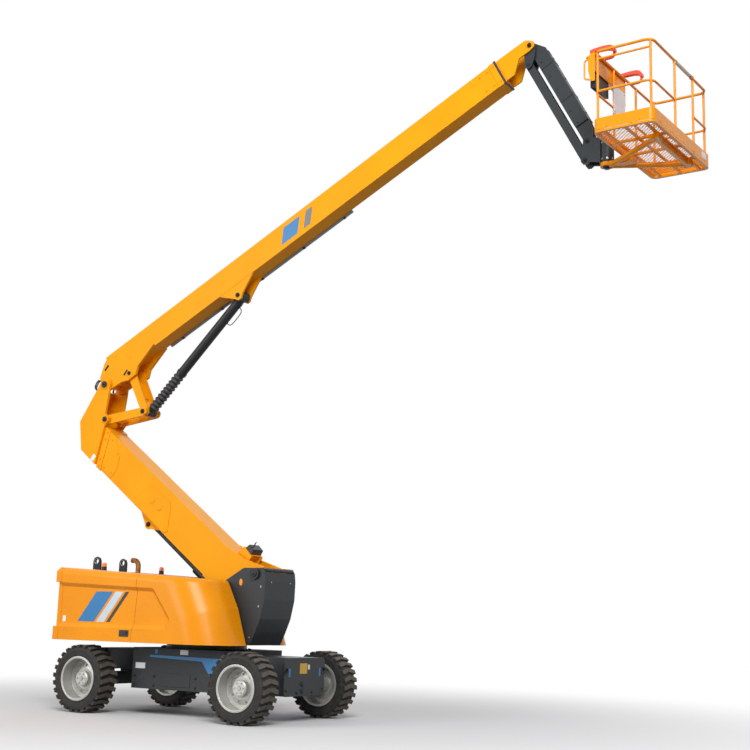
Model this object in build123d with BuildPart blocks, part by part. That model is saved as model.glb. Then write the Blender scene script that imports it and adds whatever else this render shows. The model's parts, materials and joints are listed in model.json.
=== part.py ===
"""Articulating boom lift, rough-terrain wheels, shown half raised.

Frame: +X is the way the upper boom points, +Y the machine's left, +Z up.
Origin on the ground under the slew axis.  Millimetres.
"""
from math import atan2, cos, degrees, hypot, radians, sin
import os
from build123d import *

# Wheels
TYRE_OD = 1015.0
TYRE_W = 355.0
RIM_R = 312.5
LUGS = 13             # tread blocks in each row
LUG_R0, LUG_R1 = 462.0, 503.2
WHEELBASE = 3000.0
TRACK = 2130.0
SPINDLE_R = 60.0
SEAT = 0.3            # gap under a piece that sits on another
FIT = 0.05            # radial play of a running fit

# Chassis
BODY_X0, BODY_X1 = -840.0, 900.0
BODY_HALF = 750.0
BODY_Z0, BODY_Z1 = 390.0, 1000.0
AXLE_END = 320.0      # axle line to end plate
DRIVE_X, DRIVE_HALF = WHEELBASE / 2 + AXLE_END, 430.0
STEER_X, STEER_HALF = -WHEELBASE / 2 - AXLE_END, 300.0
KINGPIN_Y = 780.0
KINGPIN_R = 30.0
TIE_R = 40.0          # tie-down eye
END_T = 25.0          # end plate

# Turntable
RING_R, RING_BORE = 620.0, 440.0
RING_Z1 = 1079.0
DECK_Z0, DECK_Z1 = 1085.0, 1125.0
DECK_EDGE = 12.0
TAIL_R = 2440.0
TAIL_SLOT = 285.0     # half the gap that the tower lies in
TAIL_X = -2016.0
HOOD_Y = 1200.0
HOOD_IN = 432.0
HOOD_Z_TAIL, HOOD_Z_NOSE = 2190.0, 2005.0
HOOD_SEAM = -470.0
HOOD_WALL = 6.0
HOOD_Z0 = DECK_Z0 - 8  # the skirts hang over the deck's edge
NOSE_BACK = 130.0     # the left nose is shorter
NOSE_R, CROWN_R = 560.0, 100.0
NOSE_X, NOSE_MID, NOSE_TOP = 1050.0, 885.0, 670.0
RECESS, RECESS_TAPER = 45.0, 50.0
BELT_Z0, BELT_Z1 = 1280.0, 1960.0
HINGE_Y, HINGE_DROP, HINGE_R = 440.0, 26.0, 8.0
LIFT_LUG_W, LIFT_LUG_H = 150.0, 215.0
LIFT_LUG_X, LIFT_LUG_T = -2110.0, 40.0
BEACON_R, BEACON_H = 42.0, 120.0
EXHAUST_R = 40.0

# Tower (lower) boom, in its own frame: a along, p across, from its foot pin
FOOT_X, FOOT_Z = 1150.0, 2140.0
TOWER_DEG = 37.0
TOWER_HALF = 200.0
TOWER_P0, TOWER_P1 = -700.0, -90.0
TOWER_A0, TOWER_A1 = 450.0, 3900.0
TOWER_WALL = 10.0
TOWER_SLANT = 250.0   # top edge runs on past the bottom edge
SLIDE_GAP, PAD_GAP = 2.0, 0.4   # between boom tubes, and at their wear pads
FOOT_PIN_R = 55.0
TOWER_LUG = (2385.0, -800.0)
TOWER_CYL_X, TOWER_CYL_Z = 900.0, 1320.0
TOWER_PIN_R = 40.0

# Riser head, in the tower's frame
P1 = (4657.0, 462.0)          # upper boom pin
P2 = (4248.0, 18.0)           # lower link pin
HEAD_IN, HEAD_OUT = 195.0, 240.0
P1_R, P2_R = 45.0, 32.0

# Upper boom, in its own frame from P1: s along, h across
MAIN_DEG = 28.0
MAIN_HALF = 140.0
MAIN_H0, MAIN_H1 = 90.0, 490.0
MAIN_S0, MAIN_S1 = 130.0, 8420.0
MAIN_WALL = 8.0
P4 = (503.0, -75.0)           # upper link pin
LIFT_PIN = (2950.0, -86.0)    # lift cylinder pin
HEAD_PIN = (8972.0, 352.0)
HEAD_PIN_R = 28.0

# Links
BOOT_R = 76.0         # bellows, mean
J_X, J_Z = -1460.0, 4810.0    # where both links and the lift rod meet

# Jib, in its own frame from the head pin
JIB_DEG = -61.8
JIB_L = 1840.0
LINK_DX, LINK_DZ = -30.0, -282.0   # lower link pin from the head pin, always level

# Platform, from the jib's end
ROT_REACH = 255.0             # jib end to rotator
FLOOR_GAP = 255.0             # rotator to floor
FLOOR_L = 860.0
FLOOR_HALF = 1030.0
FLOOR_DROP = 278.0            # floor below the jib's end
TOE_H = 165.0
RAIL_H, MID_H = 1125.0, 555.0
RAIL_R = 19.0
RAIL_IN = 24.0                # rail line inside the floor's edge
RAIL_BEND = 110.0
GATE_Y0, GATE_Y1 = -220.0, 450.0
GATE_HINGE = GATE_Y1 - 45
GATE_EAR, GATE_PIN = 14.0, 8.0
CONSOLE_W = 1000.0
PLATFORM_TURN = -4.0          # as it stands


def turned(x, z, deg, local, up=1):
    """Ground-frame x, z of a point given along and across a member."""
    a = radians(deg)
    s, h = local
    return x + s * cos(a) - up * h * sin(a), z + s * sin(a) + up * h * cos(a)


TOWER = (FOOT_X, FOOT_Z, 180.0 - TOWER_DEG, -1)
P1_X, P1_Z = turned(*TOWER[:3], P1, -1)
P2_X, P2_Z = turned(*TOWER[:3], P2, -1)
MAIN = (P1_X, P1_Z, MAIN_DEG, 1)
P4_X, P4_Z = turned(*MAIN[:3], P4)
LIFT_X, LIFT_Z = turned(*MAIN[:3], LIFT_PIN)
HP_X, HP_Z = turned(*MAIN[:3], HEAD_PIN)
JIB = (HP_X, HP_Z, JIB_DEG, 1)
END_X, END_Z = turned(*JIB[:3], (JIB_L, 0))
ROT_X = END_X + ROT_REACH
FLOOR_X0 = ROT_X + FLOOR_GAP
FLOOR_X1 = FLOOR_X0 + FLOOR_L
FLOOR_Z = END_Z - FLOOR_DROP
RAIL_Z, MID_Z = FLOOR_Z + RAIL_H, FLOOR_Z + MID_H
GROUND = (0.0, 0.0, 0.0, 1)


def side(base, y):
    """Sketch plane square to Y, running along a member."""
    x, z, deg, up = base
    a = radians(deg)
    return Plane(origin=(x, y, z), x_dir=(cos(a), 0, sin(a)), z_dir=(0, -up, 0))


def slab(base, points, y0, y1, holes=()):
    """Plate cut to a side outline, from y0 to y1; holes are (x, y, r)."""
    start, step = (y1, y1 - y0) if base[3] > 0 else (y0, y1 - y0)
    with BuildPart() as p:
        with BuildSketch(side(base, start)):
            with BuildLine():
                Polyline(*points, close=True)
            make_face()
            for hx, hy, hr in holes:
                with Locations((hx, hy)):
                    Circle(hr, mode=Mode.SUBTRACT)
        extrude(amount=step)
    return p.part


def disc(base, at, r, y0, y1, bore=0.0):
    """Round pin, boss or ring across a member."""
    start, step = (y1, y1 - y0) if base[3] > 0 else (y0, y1 - y0)
    with BuildPart() as p:
        with BuildSketch(side(base, start)):
            with Locations(at):
                Circle(r)
                if bore:
                    Circle(bore, mode=Mode.SUBTRACT)
        extrude(amount=step)
    return p.part


def rect(x0, x1, y0, y1):
    return [(x0, y0), (x1, y0), (x1, y1), (x0, y1)]


def slabs(base, points, y0, y1, holes=()):
    """The same plate on the right and the left side."""
    return [slab(base, points, y0, y1, holes), slab(base, points, -y1, -y0, holes)]


def discs(base, at, r, y0, y1, bore=0.0):
    """The same pin end on the right and the left side."""
    return [disc(base, at, r, y0, y1, bore), disc(base, at, r, -y1, -y0, bore)]


def join(solids, cuts=()):
    with BuildPart() as p:
        for s in solids:
            add(s)
        for c in cuts:
            add(c, mode=Mode.SUBTRACT)
    return p.part


def box(x0, x1, y0, y1, z0, z1):
    with BuildPart() as p:
        with Locations(((x0 + x1) / 2, (y0 + y1) / 2, (z0 + z1) / 2)):
            Box(x1 - x0, y1 - y0, z1 - z0)
    return p.part


def post(x, y, r, z0, z1, bore=0.0):
    with BuildPart() as p:
        with BuildSketch(Plane.XY.offset(z0)):
            with Locations((x, y)):
                Circle(r)
                if bore:
                    Circle(bore, mode=Mode.SUBTRACT)
        extrude(amount=z1 - z0)
    return p.part


def bar(start, end, r, bore=0.0):
    """Round bar or tube between two points."""
    d = Vector(*end) - Vector(*start)
    with BuildPart() as p:
        with BuildSketch(Plane(origin=start, z_dir=d)):
            Circle(r)
            if bore:
                Circle(bore, mode=Mode.SUBTRACT)
        extrude(amount=d.length)
    return p.part


def tube(base, x0, x1, h0, h1, half, wall):
    """Square boom tube, open at both ends."""
    outer = slab(base, rect(x0, x1, h0, h1), -half, half)
    inner = slab(base, rect(x0 - 5, x1 + 5, h0 + wall, h1 - wall), -half + wall, half - wall)
    return join([outer], [inner])


def swept(points, r, bend):
    """Bent round bar through points."""
    with BuildPart() as p:
        with BuildLine() as path:
            FilletPolyline(*points, radius=bend)
        first = Vector(*points[1]) - Vector(*points[0])
        with BuildSketch(Plane(origin=points[0], z_dir=first)):
            Circle(r)
        sweep(path=path.wires()[0])
    return p.part


# Wheels

def revolved(profile, x, y, z, hand):
    """Turn a (radius, outward) profile about the axle line."""
    with BuildPart() as p:
        with BuildSketch(Plane.XY):
            with BuildLine():
                Polyline(*[(r, t * hand) for r, t in profile], close=True)
            make_face()
        revolve(axis=Axis.Y)
    return p.part.moved(Location((x, y, z)))


def tread_block(row, turn):
    """One lug, from past the middle out over the shoulder, slanting as it goes."""
    w = TYRE_W / 2
    plan = [(-34, -12), (30, -12), (46, 70), (66, w - 20), (66, w - 2), (4, w - 2), (-2, w - 34), (-26, 70)]
    with BuildPart() as p:
        with BuildSketch(Plane.XY.offset(LUG_R0)):
            with BuildLine():
                Polyline(*[(t, y * row) for t, y in plan], close=True)
            make_face()
        extrude(amount=LUG_R1 - LUG_R0)
    return p.part.rotate(Axis.Y, turn)


def tyre():
    """Flat-sided carcass with two rows of lugs set half a pitch apart."""
    r, w, n = LUG_R0 + 14, TYRE_W / 2, 2 * LUGS
    half = [(r, w - 40), (r - 12, w - 8), (r - 50, w), (RIM_R + 37, w - 5), (RIM_R + 25, w - 13)]
    sections = [(a, -t) for a, t in reversed(half)] + half
    with BuildPart() as p:
        for radius, t in sections:
            with BuildSketch(Plane.XZ.offset(t)):
                RegularPolygon(radius, n)
        loft(ruled=True)
        with BuildSketch(Plane.XZ.offset(-w)):
            RegularPolygon(RIM_R + 0.2, n, major_radius=False)
        extrude(amount=2 * w, mode=Mode.SUBTRACT)
    pitch = 360.0 / LUGS
    lugs = [tread_block(row, pitch * (i + 0.25 * row)) for i in range(LUGS) for row in (-1, 1)]
    return join([p.part] + lugs)


def rim(x, hand):
    w = TYRE_W / 2
    barrel = [(RIM_R + 20, w), (RIM_R + 20, w - 12), (RIM_R, w - 12), (RIM_R, 12 - w), (RIM_R + 20, 12 - w),
              (RIM_R + 20, -w), (RIM_R - 14, -w), (RIM_R - 14, -40), (230, -40), (150, -10), (116, -10),
              (116, -195), (SPINDLE_R + FIT, -195), (SPINDLE_R + FIT, -60), (0, -60), (0, 85), (100, 85),
              (116, 70), (116, 12), (158, 12), (238, -18), (RIM_R - 14, -18), (RIM_R - 14, w)]
    return revolved(barrel, x, hand * TRACK / 2, TYRE_OD / 2, hand)


# Chassis

def hollow(x0, x1, half, z0, z1, wall, hole_r, holes):
    """Plate box with round openings in its floor."""
    cuts = [box(x0 + wall, x1 - wall, wall - half, half - wall, z0 + wall, z1 - wall)]
    cuts += [post(hx, 0, hole_r, z0 - 1, z0 + wall + 1) for hx in holes]
    return join([box(x0, x1, -half, half, z0, z1)], cuts)


def end_plate(x, half, z0, z1, eye_y, eye_z):
    """End plate with a tie-down eye on each side."""
    with BuildPart() as p:
        with BuildSketch(Plane(origin=(x, 0, 0), x_dir=(0, 1, 0), z_dir=(1, 0, 0))):
            with Locations((0, (z0 + z1) / 2)):
                RectangleRounded(2 * half, z1 - z0, 60)
            with Locations((eye_y, eye_z), (-eye_y, eye_z)):
                Circle(TIE_R, mode=Mode.SUBTRACT)
        extrude(amount=END_T)
    return p.part


def chassis_frame():
    body = hollow(BODY_X0, BODY_X1, BODY_HALF, BODY_Z0, BODY_Z1, 14, 160, (-450, 0, 450))
    drive = hollow(BODY_X1, DRIVE_X, DRIVE_HALF, 380, 930, 14, 140, (1150, 1560))
    steer = hollow(STEER_X, BODY_X0, STEER_HALF, 640, 960, 14, 100, (-1200, -1700))
    plates = [end_plate(DRIVE_X, 530, 380, 930, 485, 740),
              end_plate(STEER_X - END_T, 400, 620, 960, 350, 790)]
    return join([body, drive, steer] + plates)


def steer_axle():
    x = -WHEELBASE / 2
    beam = join([box(x - 90, x + 90, -690, 690, 410, 600)], [box(x - 76, x + 76, -700, 700, 424, 586)])
    parts = [beam, box(x - 110, x + 110, -150, 150, 600, 640)]
    for hand in (-1, 1):
        y = sorted((hand * 660, hand * 695))
        parts.append(box(x - 90, x + 90, *y, 372, 643))
        ear = sorted((hand * 690, hand * 820))
        parts += [box(x - 80, x + 80, *ear, 372, 412), box(x - 80, x + 80, *ear, 603, 643)]
        parts.append(post(x, hand * KINGPIN_Y, KINGPIN_R, 372, 643))
    return join(parts)


def knuckle(hand):
    x, z = -WHEELBASE / 2, TYRE_OD / 2
    y = sorted((hand * 780, hand * 850))
    parts = [post(x, hand * KINGPIN_Y, 76, 418, 597), box(x - 76, x + 76, *y, 418, 597)]
    parts.append(disc(GROUND, (x, z), 88, *sorted((hand * 850, hand * 866))))
    parts.append(disc(GROUND, (x, z), SPINDLE_R, *sorted((hand * 840, hand * 1000))))
    return join(parts, [post(x, hand * KINGPIN_Y, KINGPIN_R + FIT, 400, 620)])


def drive_axle():
    x, z = WHEELBASE / 2, TYRE_OD / 2
    parts = []
    for hand in (-1, 1):
        parts.append(disc(GROUND, (x, z), 150, *sorted((hand * DRIVE_HALF, hand * 840))))
        parts.append(disc(GROUND, (x, z), 110, *sorted((hand * 830, hand * 866))))
        parts.append(disc(GROUND, (x, z), SPINDLE_R, *sorted((hand * 840, hand * 1000))))
    return join(parts)


def slew_ring():
    return post(0, 0, RING_R, BODY_Z1, RING_Z1, RING_BORE + FIT)


# Turntable

def hood_top(x):
    """Height of the hood's top, which falls towards the nose."""
    return HOOD_Z_TAIL + (HOOD_Z_NOSE - HOOD_Z_TAIL) * (x + 2010) / 3210


HINGE_EARS = ((-2000, -1960), (HOOD_SEAM - 60, HOOD_SEAM - 20))
UPRIGHT_EDGE = [(1100, DECK_Z0), (1190, 1270), (1275, 1480), (1335, 1760), (1342, 2040), (1325, 2170)]


def deck_side(back):
    """Plan of half the deck, just inside the hood's skirt."""
    e, c, nose = DECK_EDGE, NOSE_R * 0.42, NOSE_X - back
    return [(TAIL_X, HOOD_Y - e), (nose - NOSE_R, HOOD_Y - e), (nose - c - e, HOOD_Y - c - e),
            (nose - e, HOOD_Y - NOSE_R), (nose - e, 400), (1100, 400)]


def turntable_frame():
    with BuildPart() as deck:
        with BuildSketch(Plane.XY.offset(DECK_Z0)):
            with BuildLine():
                right, left = deck_side(0), deck_side(NOSE_BACK)
                Polyline(*[(x, -y) for x, y in right], *reversed(left), close=True)
            make_face()
        extrude(amount=DECK_Z1 - DECK_Z0)
    parts = [deck.part, post(0, 0, RING_BORE, 1030, DECK_Z0 + 5, 220)]
    plate = [(300, DECK_Z1)] + UPRIGHT_EDGE + [(1290, 2230), (930, 2230), (600, 2040), (300, 1500)]
    parts += slabs(GROUND, plate, 360, 400, [(FOOT_X, FOOT_Z, FOOT_PIN_R + FIT)])
    tail = UPRIGHT_EDGE + [(x - 14, z) for x, z in reversed(UPRIGHT_EDGE)]
    parts.append(slab(GROUND, tail, -360, 360))
    wall = [(TAIL_X, DECK_Z1), (330, DECK_Z1), (560, hood_top(560) - 60), (TAIL_X, hood_top(TAIL_X) - 60)]
    parts += slabs(GROUND, wall, 412, 424)
    lug = [(TOWER_CYL_X - 120, DECK_Z1), (TOWER_CYL_X + 120, DECK_Z1), (TOWER_CYL_X + 80, TOWER_CYL_Z + 20),
           (TOWER_CYL_X + 35, TOWER_CYL_Z + 75), (TOWER_CYL_X - 35, TOWER_CYL_Z + 75),
           (TOWER_CYL_X - 80, TOWER_CYL_Z + 20)]
    parts += slabs(GROUND, lug, 90, 120)
    parts += discs(GROUND, (TOWER_CYL_X, TOWER_CYL_Z), 42, 88, 128)
    for hand in (-1, 1):
        for x0, x1 in HINGE_EARS:
            y = sorted((hand * 412, hand * 453))
            ear = [(x0, hood_top(x0) - 75), (x1, hood_top(x1) - 75), (x1, hood_top(x1) - 14),
                   (x0, hood_top(x0) - 14)]
            parts.append(slab(GROUND, ear, *y))
        parts.append(bar(hinge_point(-1990, hand), hinge_point(HOOD_SEAM - 30, hand), HINGE_R))
    return join(parts)


def hinge_point(x, hand):
    return (x, hand * HINGE_Y, hood_top(x) - HINGE_DROP)


def tail_plan(inset):
    """Outline of the tail, a round back between the hood's sides."""
    with BuildSketch() as plan:
        Circle(TAIL_R - inset)
        with Locations((TAIL_X - 500, 0)):
            Rectangle(1000, 2 * (HOOD_Y - inset), mode=Mode.INTERSECT)
    return plan.sketch


def tail_band(inset, z0, z1, taper=0.0):
    with BuildPart() as p:
        with BuildSketch(Plane.XY.offset(z0)):
            add(tail_plan(inset))
        extrude(amount=z1 - z0, taper=taper)
    return p.part


def counterweight():
    """Round tail with a bulging band above and below a sunk belt."""
    low, high = tail_band(0, HOOD_Z0, BELT_Z0), tail_band(0, BELT_Z1, HOOD_Z_TAIL - 60)
    belt = tail_band(RECESS, BELT_Z0 - 5, BELT_Z1 + 5)
    crown = tail_band(0, HOOD_Z_TAIL - 60, HOOD_Z_TAIL, 40)
    slot = box(-TAIL_R - 50, TAIL_X + 100, -TAIL_SLOT, TAIL_SLOT, 1380, 2500)
    return join([low, belt, high, crown], [slot])


def hood_block(inset, back):
    """Right-hand hood before it is hollowed and split."""
    s, n = inset, inset + back
    lean = (DECK_Z1 - HOOD_Z0) * (NOSE_X - NOSE_MID) / (1620 - DECK_Z1)
    outline = [(-2010 + s, HOOD_Z0 - 2 * s), (NOSE_X + lean - n, HOOD_Z0 - 2 * s), (NOSE_MID - n, 1620),
               (NOSE_TOP - n, hood_top(NOSE_TOP - back) - s), (-2010 + s, HOOD_Z_TAIL - s)]
    block = slab(GROUND, outline, s - HOOD_Y, -HOOD_IN if s == 0 else -HOOD_IN + 10)
    with BuildPart() as p:
        add(block)
        face = p.faces().sort_by(Axis.Y)[0]
        fillet([e for e in face.edges() if e.center().Z > DECK_Z1 + 20 and e.center().X > 450], NOSE_R - s)
        face = p.faces().sort_by(Axis.Y)[0]
        fillet([e for e in face.edges() if e.center().Z > 1990 and e.center().X < 300], CROWN_R - s)
    return join([p.part], [side_recess(s)])


def side_recess(inset):
    """Sunk panel along the hood's side, with sloping walls."""
    s = inset
    corners = [(-2100, BELT_Z1 + s), (-140 + s, 1885 + s), (225 + s, 1425), (120 + s, BELT_Z0 - s),
               (-2100, BELT_Z0 - s)]
    plane = Plane(origin=(0, -HOOD_Y - 1, 0), x_dir=(1, 0, 0), z_dir=(0, 1, 0))
    with BuildPart() as p:
        with BuildSketch(plane) as outline:
            with BuildLine():
                Polyline(*[(x, -z) for x, z in corners], close=True)
            make_face()
            fillet([v for v in outline.vertices() if v.X > -1000], 80)
        extrude(amount=RECESS + s + 1, taper=RECESS_TAPER)
    return p.part


def hood_skin(back):
    return join([hood_block(0, back)], [hood_block(HOOD_WALL, back)])


def seam_cut(x0, side):
    """All of the hood past its seam, which stands square to the door's hinge line."""
    lean = (HOOD_Z_TAIL - HOOD_Z_NOSE) / 3210
    z0, z1, far = 1000.0, 2500.0, side * 4000.0
    edge = [(x0 + (z - HOOD_Z_NOSE) * lean, z) for z in (z0, z1)]
    return slab(GROUND, edge + [(far, z1), (far, z0)], -1500, 0)


def mirrored(part, hand):
    if hand < 0:
        return part
    with BuildPart() as p:
        add(part)
        mirror(about=Plane.XZ, mode=Mode.REPLACE)
    return p.part


def hood_nose(skin, hand):
    """Fixed front of the hood, on two feet that stand on the deck."""
    cut = seam_cut(HOOD_SEAM + 3, -1)
    feet = [box(x, x + 80, 2 - HOOD_Y, 100 - HOOD_Y, DECK_Z1, DECK_Z1 + 40) for x in (HOOD_SEAM + 40, 150)]
    return mirrored(join([skin] + feet, [cut]), hand)


def hood_door(skin, hand):
    over_deck = box(-2020, -1990, HOOD_WALL - HOOD_Y, 0, 1000, DECK_Z1 + 8)
    cuts = [seam_cut(HOOD_SEAM - 3, 1), over_deck]
    x0, x1 = -1950.0, HOOD_SEAM - 70
    tube_part = bar(hinge_point(x0, -1), hinge_point(x1, -1), 14)
    web = slab(GROUND, [(x0, hood_top(x0) - 20), (x1, hood_top(x1) - 20), (x1, hood_top(x1) - 3),
                        (x0, hood_top(x0) - 3)], -445, -435)
    cuts += [box(e0 - 6, e1 + 6, -HINGE_Y - 50, -HOOD_IN + 30, hood_top(e1) - 90, hood_top(e0) + 20)
             for e0, e1 in HINGE_EARS]
    bore = bar(hinge_point(x0 - 20, -1), hinge_point(x1 + 20, -1), HINGE_R + FIT)
    return mirrored(join([skin, tube_part, web], cuts + [bore]), hand)


def engine_block():
    return box(-1750, -700, -1050, -520, DECK_Z1, 1850)


def tank_block():
    return box(-1750, -700, 520, 1050, DECK_Z1, 1850)


def lifting_lugs():
    parts = []
    for hand in (-1, 1):
        x, z = LIFT_LUG_X, HOOD_Z_TAIL
        y = sorted((hand * (TAIL_SLOT + 8), hand * (TAIL_SLOT + 8 + LIFT_LUG_T)))
        w, h = LIFT_LUG_W / 2, LIFT_LUG_H
        lug = [(x - w, z), (x + w, z), (x + w, z + h - w), (x + 0.71 * w, z + h - 0.3 * w), (x, z + h),
               (x - 0.71 * w, z + h - 0.3 * w), (x - w, z + h - w)]
        parts.append(slab(GROUND, lug, *y, [(x, z + h - w, w / 2)]))
    return join(parts)


def beacon(hand):
    z = hood_top(-1600 - BEACON_R) + 0.2
    return post(-1600, hand * 700, BEACON_R, z, z + BEACON_H)


def exhaust_pipe():
    x, y = -1190.0, EXHAUST_R - 400
    pipe = swept([(x, y, 1500), (x, y, 2340), (x - 130, y, 2340)], EXHAUST_R, 90)
    hanger = [box(x - 40, x + 40, -412, -380, z, z + 40) for z in (1600, 1950)]
    return join([pipe] + hanger)


# Tower boom

def slant_tube(low, high, proud, wall):
    """Tower tube or collar up to the slanting end, from low on its bottom edge and high on its top edge."""
    half, p0, p1 = TOWER_HALF + proud, TOWER_P0 - proud, TOWER_P1 + proud
    end = TOWER_A1 + TOWER_SLANT
    outer = slab(TOWER, [(low, p0), (TOWER_A1, p0), (end, p1), (high, p1)], -half, half)
    hollow = rect(low - 5, end + 5, p0 + wall, p1 - wall)
    return join([outer], [slab(TOWER, hollow, wall - half, half - wall)])


def tower_boom():
    body = slant_tube(TOWER_A0, TOWER_A0, 0, TOWER_WALL)
    collar = slant_tube(TOWER_A1 - 120, TOWER_A1 + TOWER_SLANT - 120, 12, 13)
    foot = [(-110, -40), (-70, 85), (60, 105), (420, -20), (900, -90), (900, -700), (560, -700), (60, -250)]
    parts = [body, collar] + slabs(TOWER, foot, TOWER_HALF - 5, TOWER_HALF + 30)
    pad = TOWER_HALF - TOWER_WALL
    parts += slabs(TOWER, rect(TOWER_A1 - 90, TOWER_A1 - 10, TOWER_P0 + 150, TOWER_P1 - 150),
                   pad - SLIDE_GAP + PAD_GAP, pad + 2)
    parts.append(slab(TOWER, rect(TOWER_A0, TOWER_A0 + 12, TOWER_P0, TOWER_P1), -TOWER_HALF, TOWER_HALF))
    parts.append(disc(TOWER, (0, 0), 100, -(TOWER_HALF + 30), TOWER_HALF + 30))
    parts.append(disc(TOWER, (0, 0), FOOT_PIN_R, -430, 430))
    parts += discs(TOWER, (0, 0), 80, 405, 425)
    a, p = TOWER_LUG
    lug = [(a - 330, TOWER_P0 + 5), (a + 330, TOWER_P0 + 5), (a + 75, p - 35), (a + 30, p - 75),
           (a - 30, p - 75),
           (a - 75, p - 35)]
    parts += slabs(TOWER, lug, 90, 125, [(a, p, TOWER_PIN_R + FIT)])
    rest = [(370, -95), (640, -95), (590, 90), (378, 55)]
    parts += slabs(TOWER, rest, 120, 150)
    parts.append(slab(TOWER, [(400, 30), (590, 60), (590, 90), (400, 60)], -130, 130))
    return join(parts)


def rest_pad():
    return slab(TOWER, [(420, 63.2), (560, 85.3), (545, 155), (425, 140)], -130, 130)


def tower_fly():
    """Inner tower tube with the riser head welded to its end."""
    gap = TOWER_WALL + SLIDE_GAP
    body = tube(TOWER, 620, 4200, TOWER_P0 + gap, TOWER_P1 - gap, TOWER_HALF - gap, 10)
    head = [(3930, -690), (4350, -680), (4700, -330), (4745, 300), (4765, 462), (4730, 545), (4657, 570),
            (4580, 545), (4500, 420), (4320, 90), (4200, 88), (4178, 30), (4186, -85)]
    pins = [disc(TOWER, P1, P1_R, -258, 258), disc(TOWER, P2, P2_R, -252, 252)]
    plates = slabs(TOWER, head, HEAD_IN, HEAD_OUT)
    block = slab(TOWER, [(3930, -690), (4350, -680), (4450, -580), (4250, -200), (4186, -85)], -200, 200)
    core = slab(TOWER, rect(3900, 4190, TOWER_P0 + gap + 10, TOWER_P1 - gap - 10), -178, 178)
    back = slab(TOWER, [(4350, -680), (4700, -330), (4745, 300), (4725, 300), (4680, -322), (4340, -662)],
                -200, 200)
    return join([body, block, back] + plates + pins, [core])


def tower_cylinder():
    """Barrel, lower eye to gland, pointing at the tower's lug."""
    base, length = cylinder_line(TOWER_CYL_X, TOWER_CYL_Z, *tower_lug())
    return join([disc(base, (0, 0), 78, -84, 84, 42), along(base, 60, 1500, 75, 52)])


def tower_rod():
    """Rod with its piston, and the pin through the tower's lug."""
    base, length = cylinder_line(TOWER_CYL_X, TOWER_CYL_Z, *tower_lug())
    return join([along(base, 660, length - 50, 45), along(base, 660, 700, 51.5),
                 disc(base, (length, 0), 72, -84, 84), disc(base, (length, 0), TOWER_PIN_R, -140, 140)])


def tower_lug():
    return turned(*TOWER[:3], TOWER_LUG, -1)


def cylinder_line(x0, z0, x1, z1):
    """Frame along a cylinder and the length between its pins."""
    length = hypot(x1 - x0, z1 - z0)
    return (x0, z0, degrees(atan2(z1 - z0, x1 - x0)), 1), length


def along(base, s0, s1, r, bore=0.0):
    """Round bar running along a member."""
    x0, z0 = turned(*base[:3], (s0, 0))
    x1, z1 = turned(*base[:3], (s1, 0))
    return bar((x0, 0, z0), (x1, 0, z1), r, bore)


# Upper boom

def upper_boom():
    body = tube(MAIN, MAIN_S0, MAIN_S1, MAIN_H0, MAIN_H1, MAIN_HALF, MAIN_WALL)
    plate = [(-70, -80), (-105, 0), (-95, 200), (85, 374), (194, 440), (632, 440), (1150, MAIN_H0 + 10),
             (700, -60), (610, -165), (430, -170), (300, -120), (90, -110), (0, -105)]
    parts = [body] + slabs(MAIN, plate, MAIN_HALF - 4, 185, [(0, 0, P1_R + FIT)])
    parts.append(slab(MAIN, rect(MAIN_S0, MAIN_S0 + 12, MAIN_H0, MAIN_H1), -MAIN_HALF, MAIN_HALF))
    parts += discs(MAIN, P4, 34, 92, 192)
    pad = MAIN_HALF - MAIN_WALL
    parts += slabs(MAIN, rect(MAIN_S1 - 100, MAIN_S1 - 20, MAIN_H0 + 90, MAIN_H1 - 90),
                   pad - SLIDE_GAP + PAD_GAP, pad + 2)
    s, h = LIFT_PIN
    lug = [(s - 330, MAIN_H0 + 4), (s + 420, MAIN_H0 + 4), (s + 80, h - 30), (s + 30, h - 85),
           (s - 30, h - 85),
           (s - 80, h - 30)]
    parts += slabs(MAIN, lug, 100, 136, [(s, h, 38 + FIT)])
    parts.append(tube(MAIN, MAIN_S1 - 130, MAIN_S1, MAIN_H0 - 8, MAIN_H1 + 8, MAIN_HALF + 8, 9))
    return join(parts)


def conduit():
    """Hose pipe along the left lower edge, on clips."""
    h, y = MAIN_H0 - 5, MAIN_HALF + 32
    x0, z0 = turned(*MAIN[:3], (1250, h))
    x1, z1 = turned(*MAIN[:3], (5250, h))
    places = (1500, 2400, 3300, 4200, 5050)
    clips = [slab(MAIN, rect(s, s + 60, h - 10, h + 60), MAIN_HALF, y) for s in places]
    return join([bar((x0, y, z0), (x1, y, z1), 26)] + clips)


def upper_fly():
    """Inner tube with the head that carries the jib."""
    gap = MAIN_WALL + SLIDE_GAP
    body = tube(MAIN, 2300, MAIN_S1 + 25, MAIN_H0 + gap, MAIN_H1 - gap, MAIN_HALF - gap, 8)
    s, h = HEAD_PIN
    e = MAIN_S1 + 10
    head = [(e - 200, MAIN_H0 + gap), (e + 140, MAIN_H0 + gap), (e + 310, 280), (s - 20, h - 72),
            (s + 50, h - 52),
            (s + 72, h), (s + 50, h + 55), (s - 20, MAIN_H1 - gap - 10), (e - 200, MAIN_H1 - gap)]
    y = MAIN_HALF - gap
    cheeks = slabs(MAIN, head, 115, y, [(s, h, HEAD_PIN_R + FIT)])
    past = [(x, z) for x, z in head if x > e]
    cheeks += slabs(MAIN, past + [(e + 12, MAIN_H1 - gap), (e + 12, MAIN_H0 + gap)],
                    115, MAIN_HALF, [(s, h, HEAD_PIN_R + FIT)])
    return join([body] + cheeks)


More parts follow.
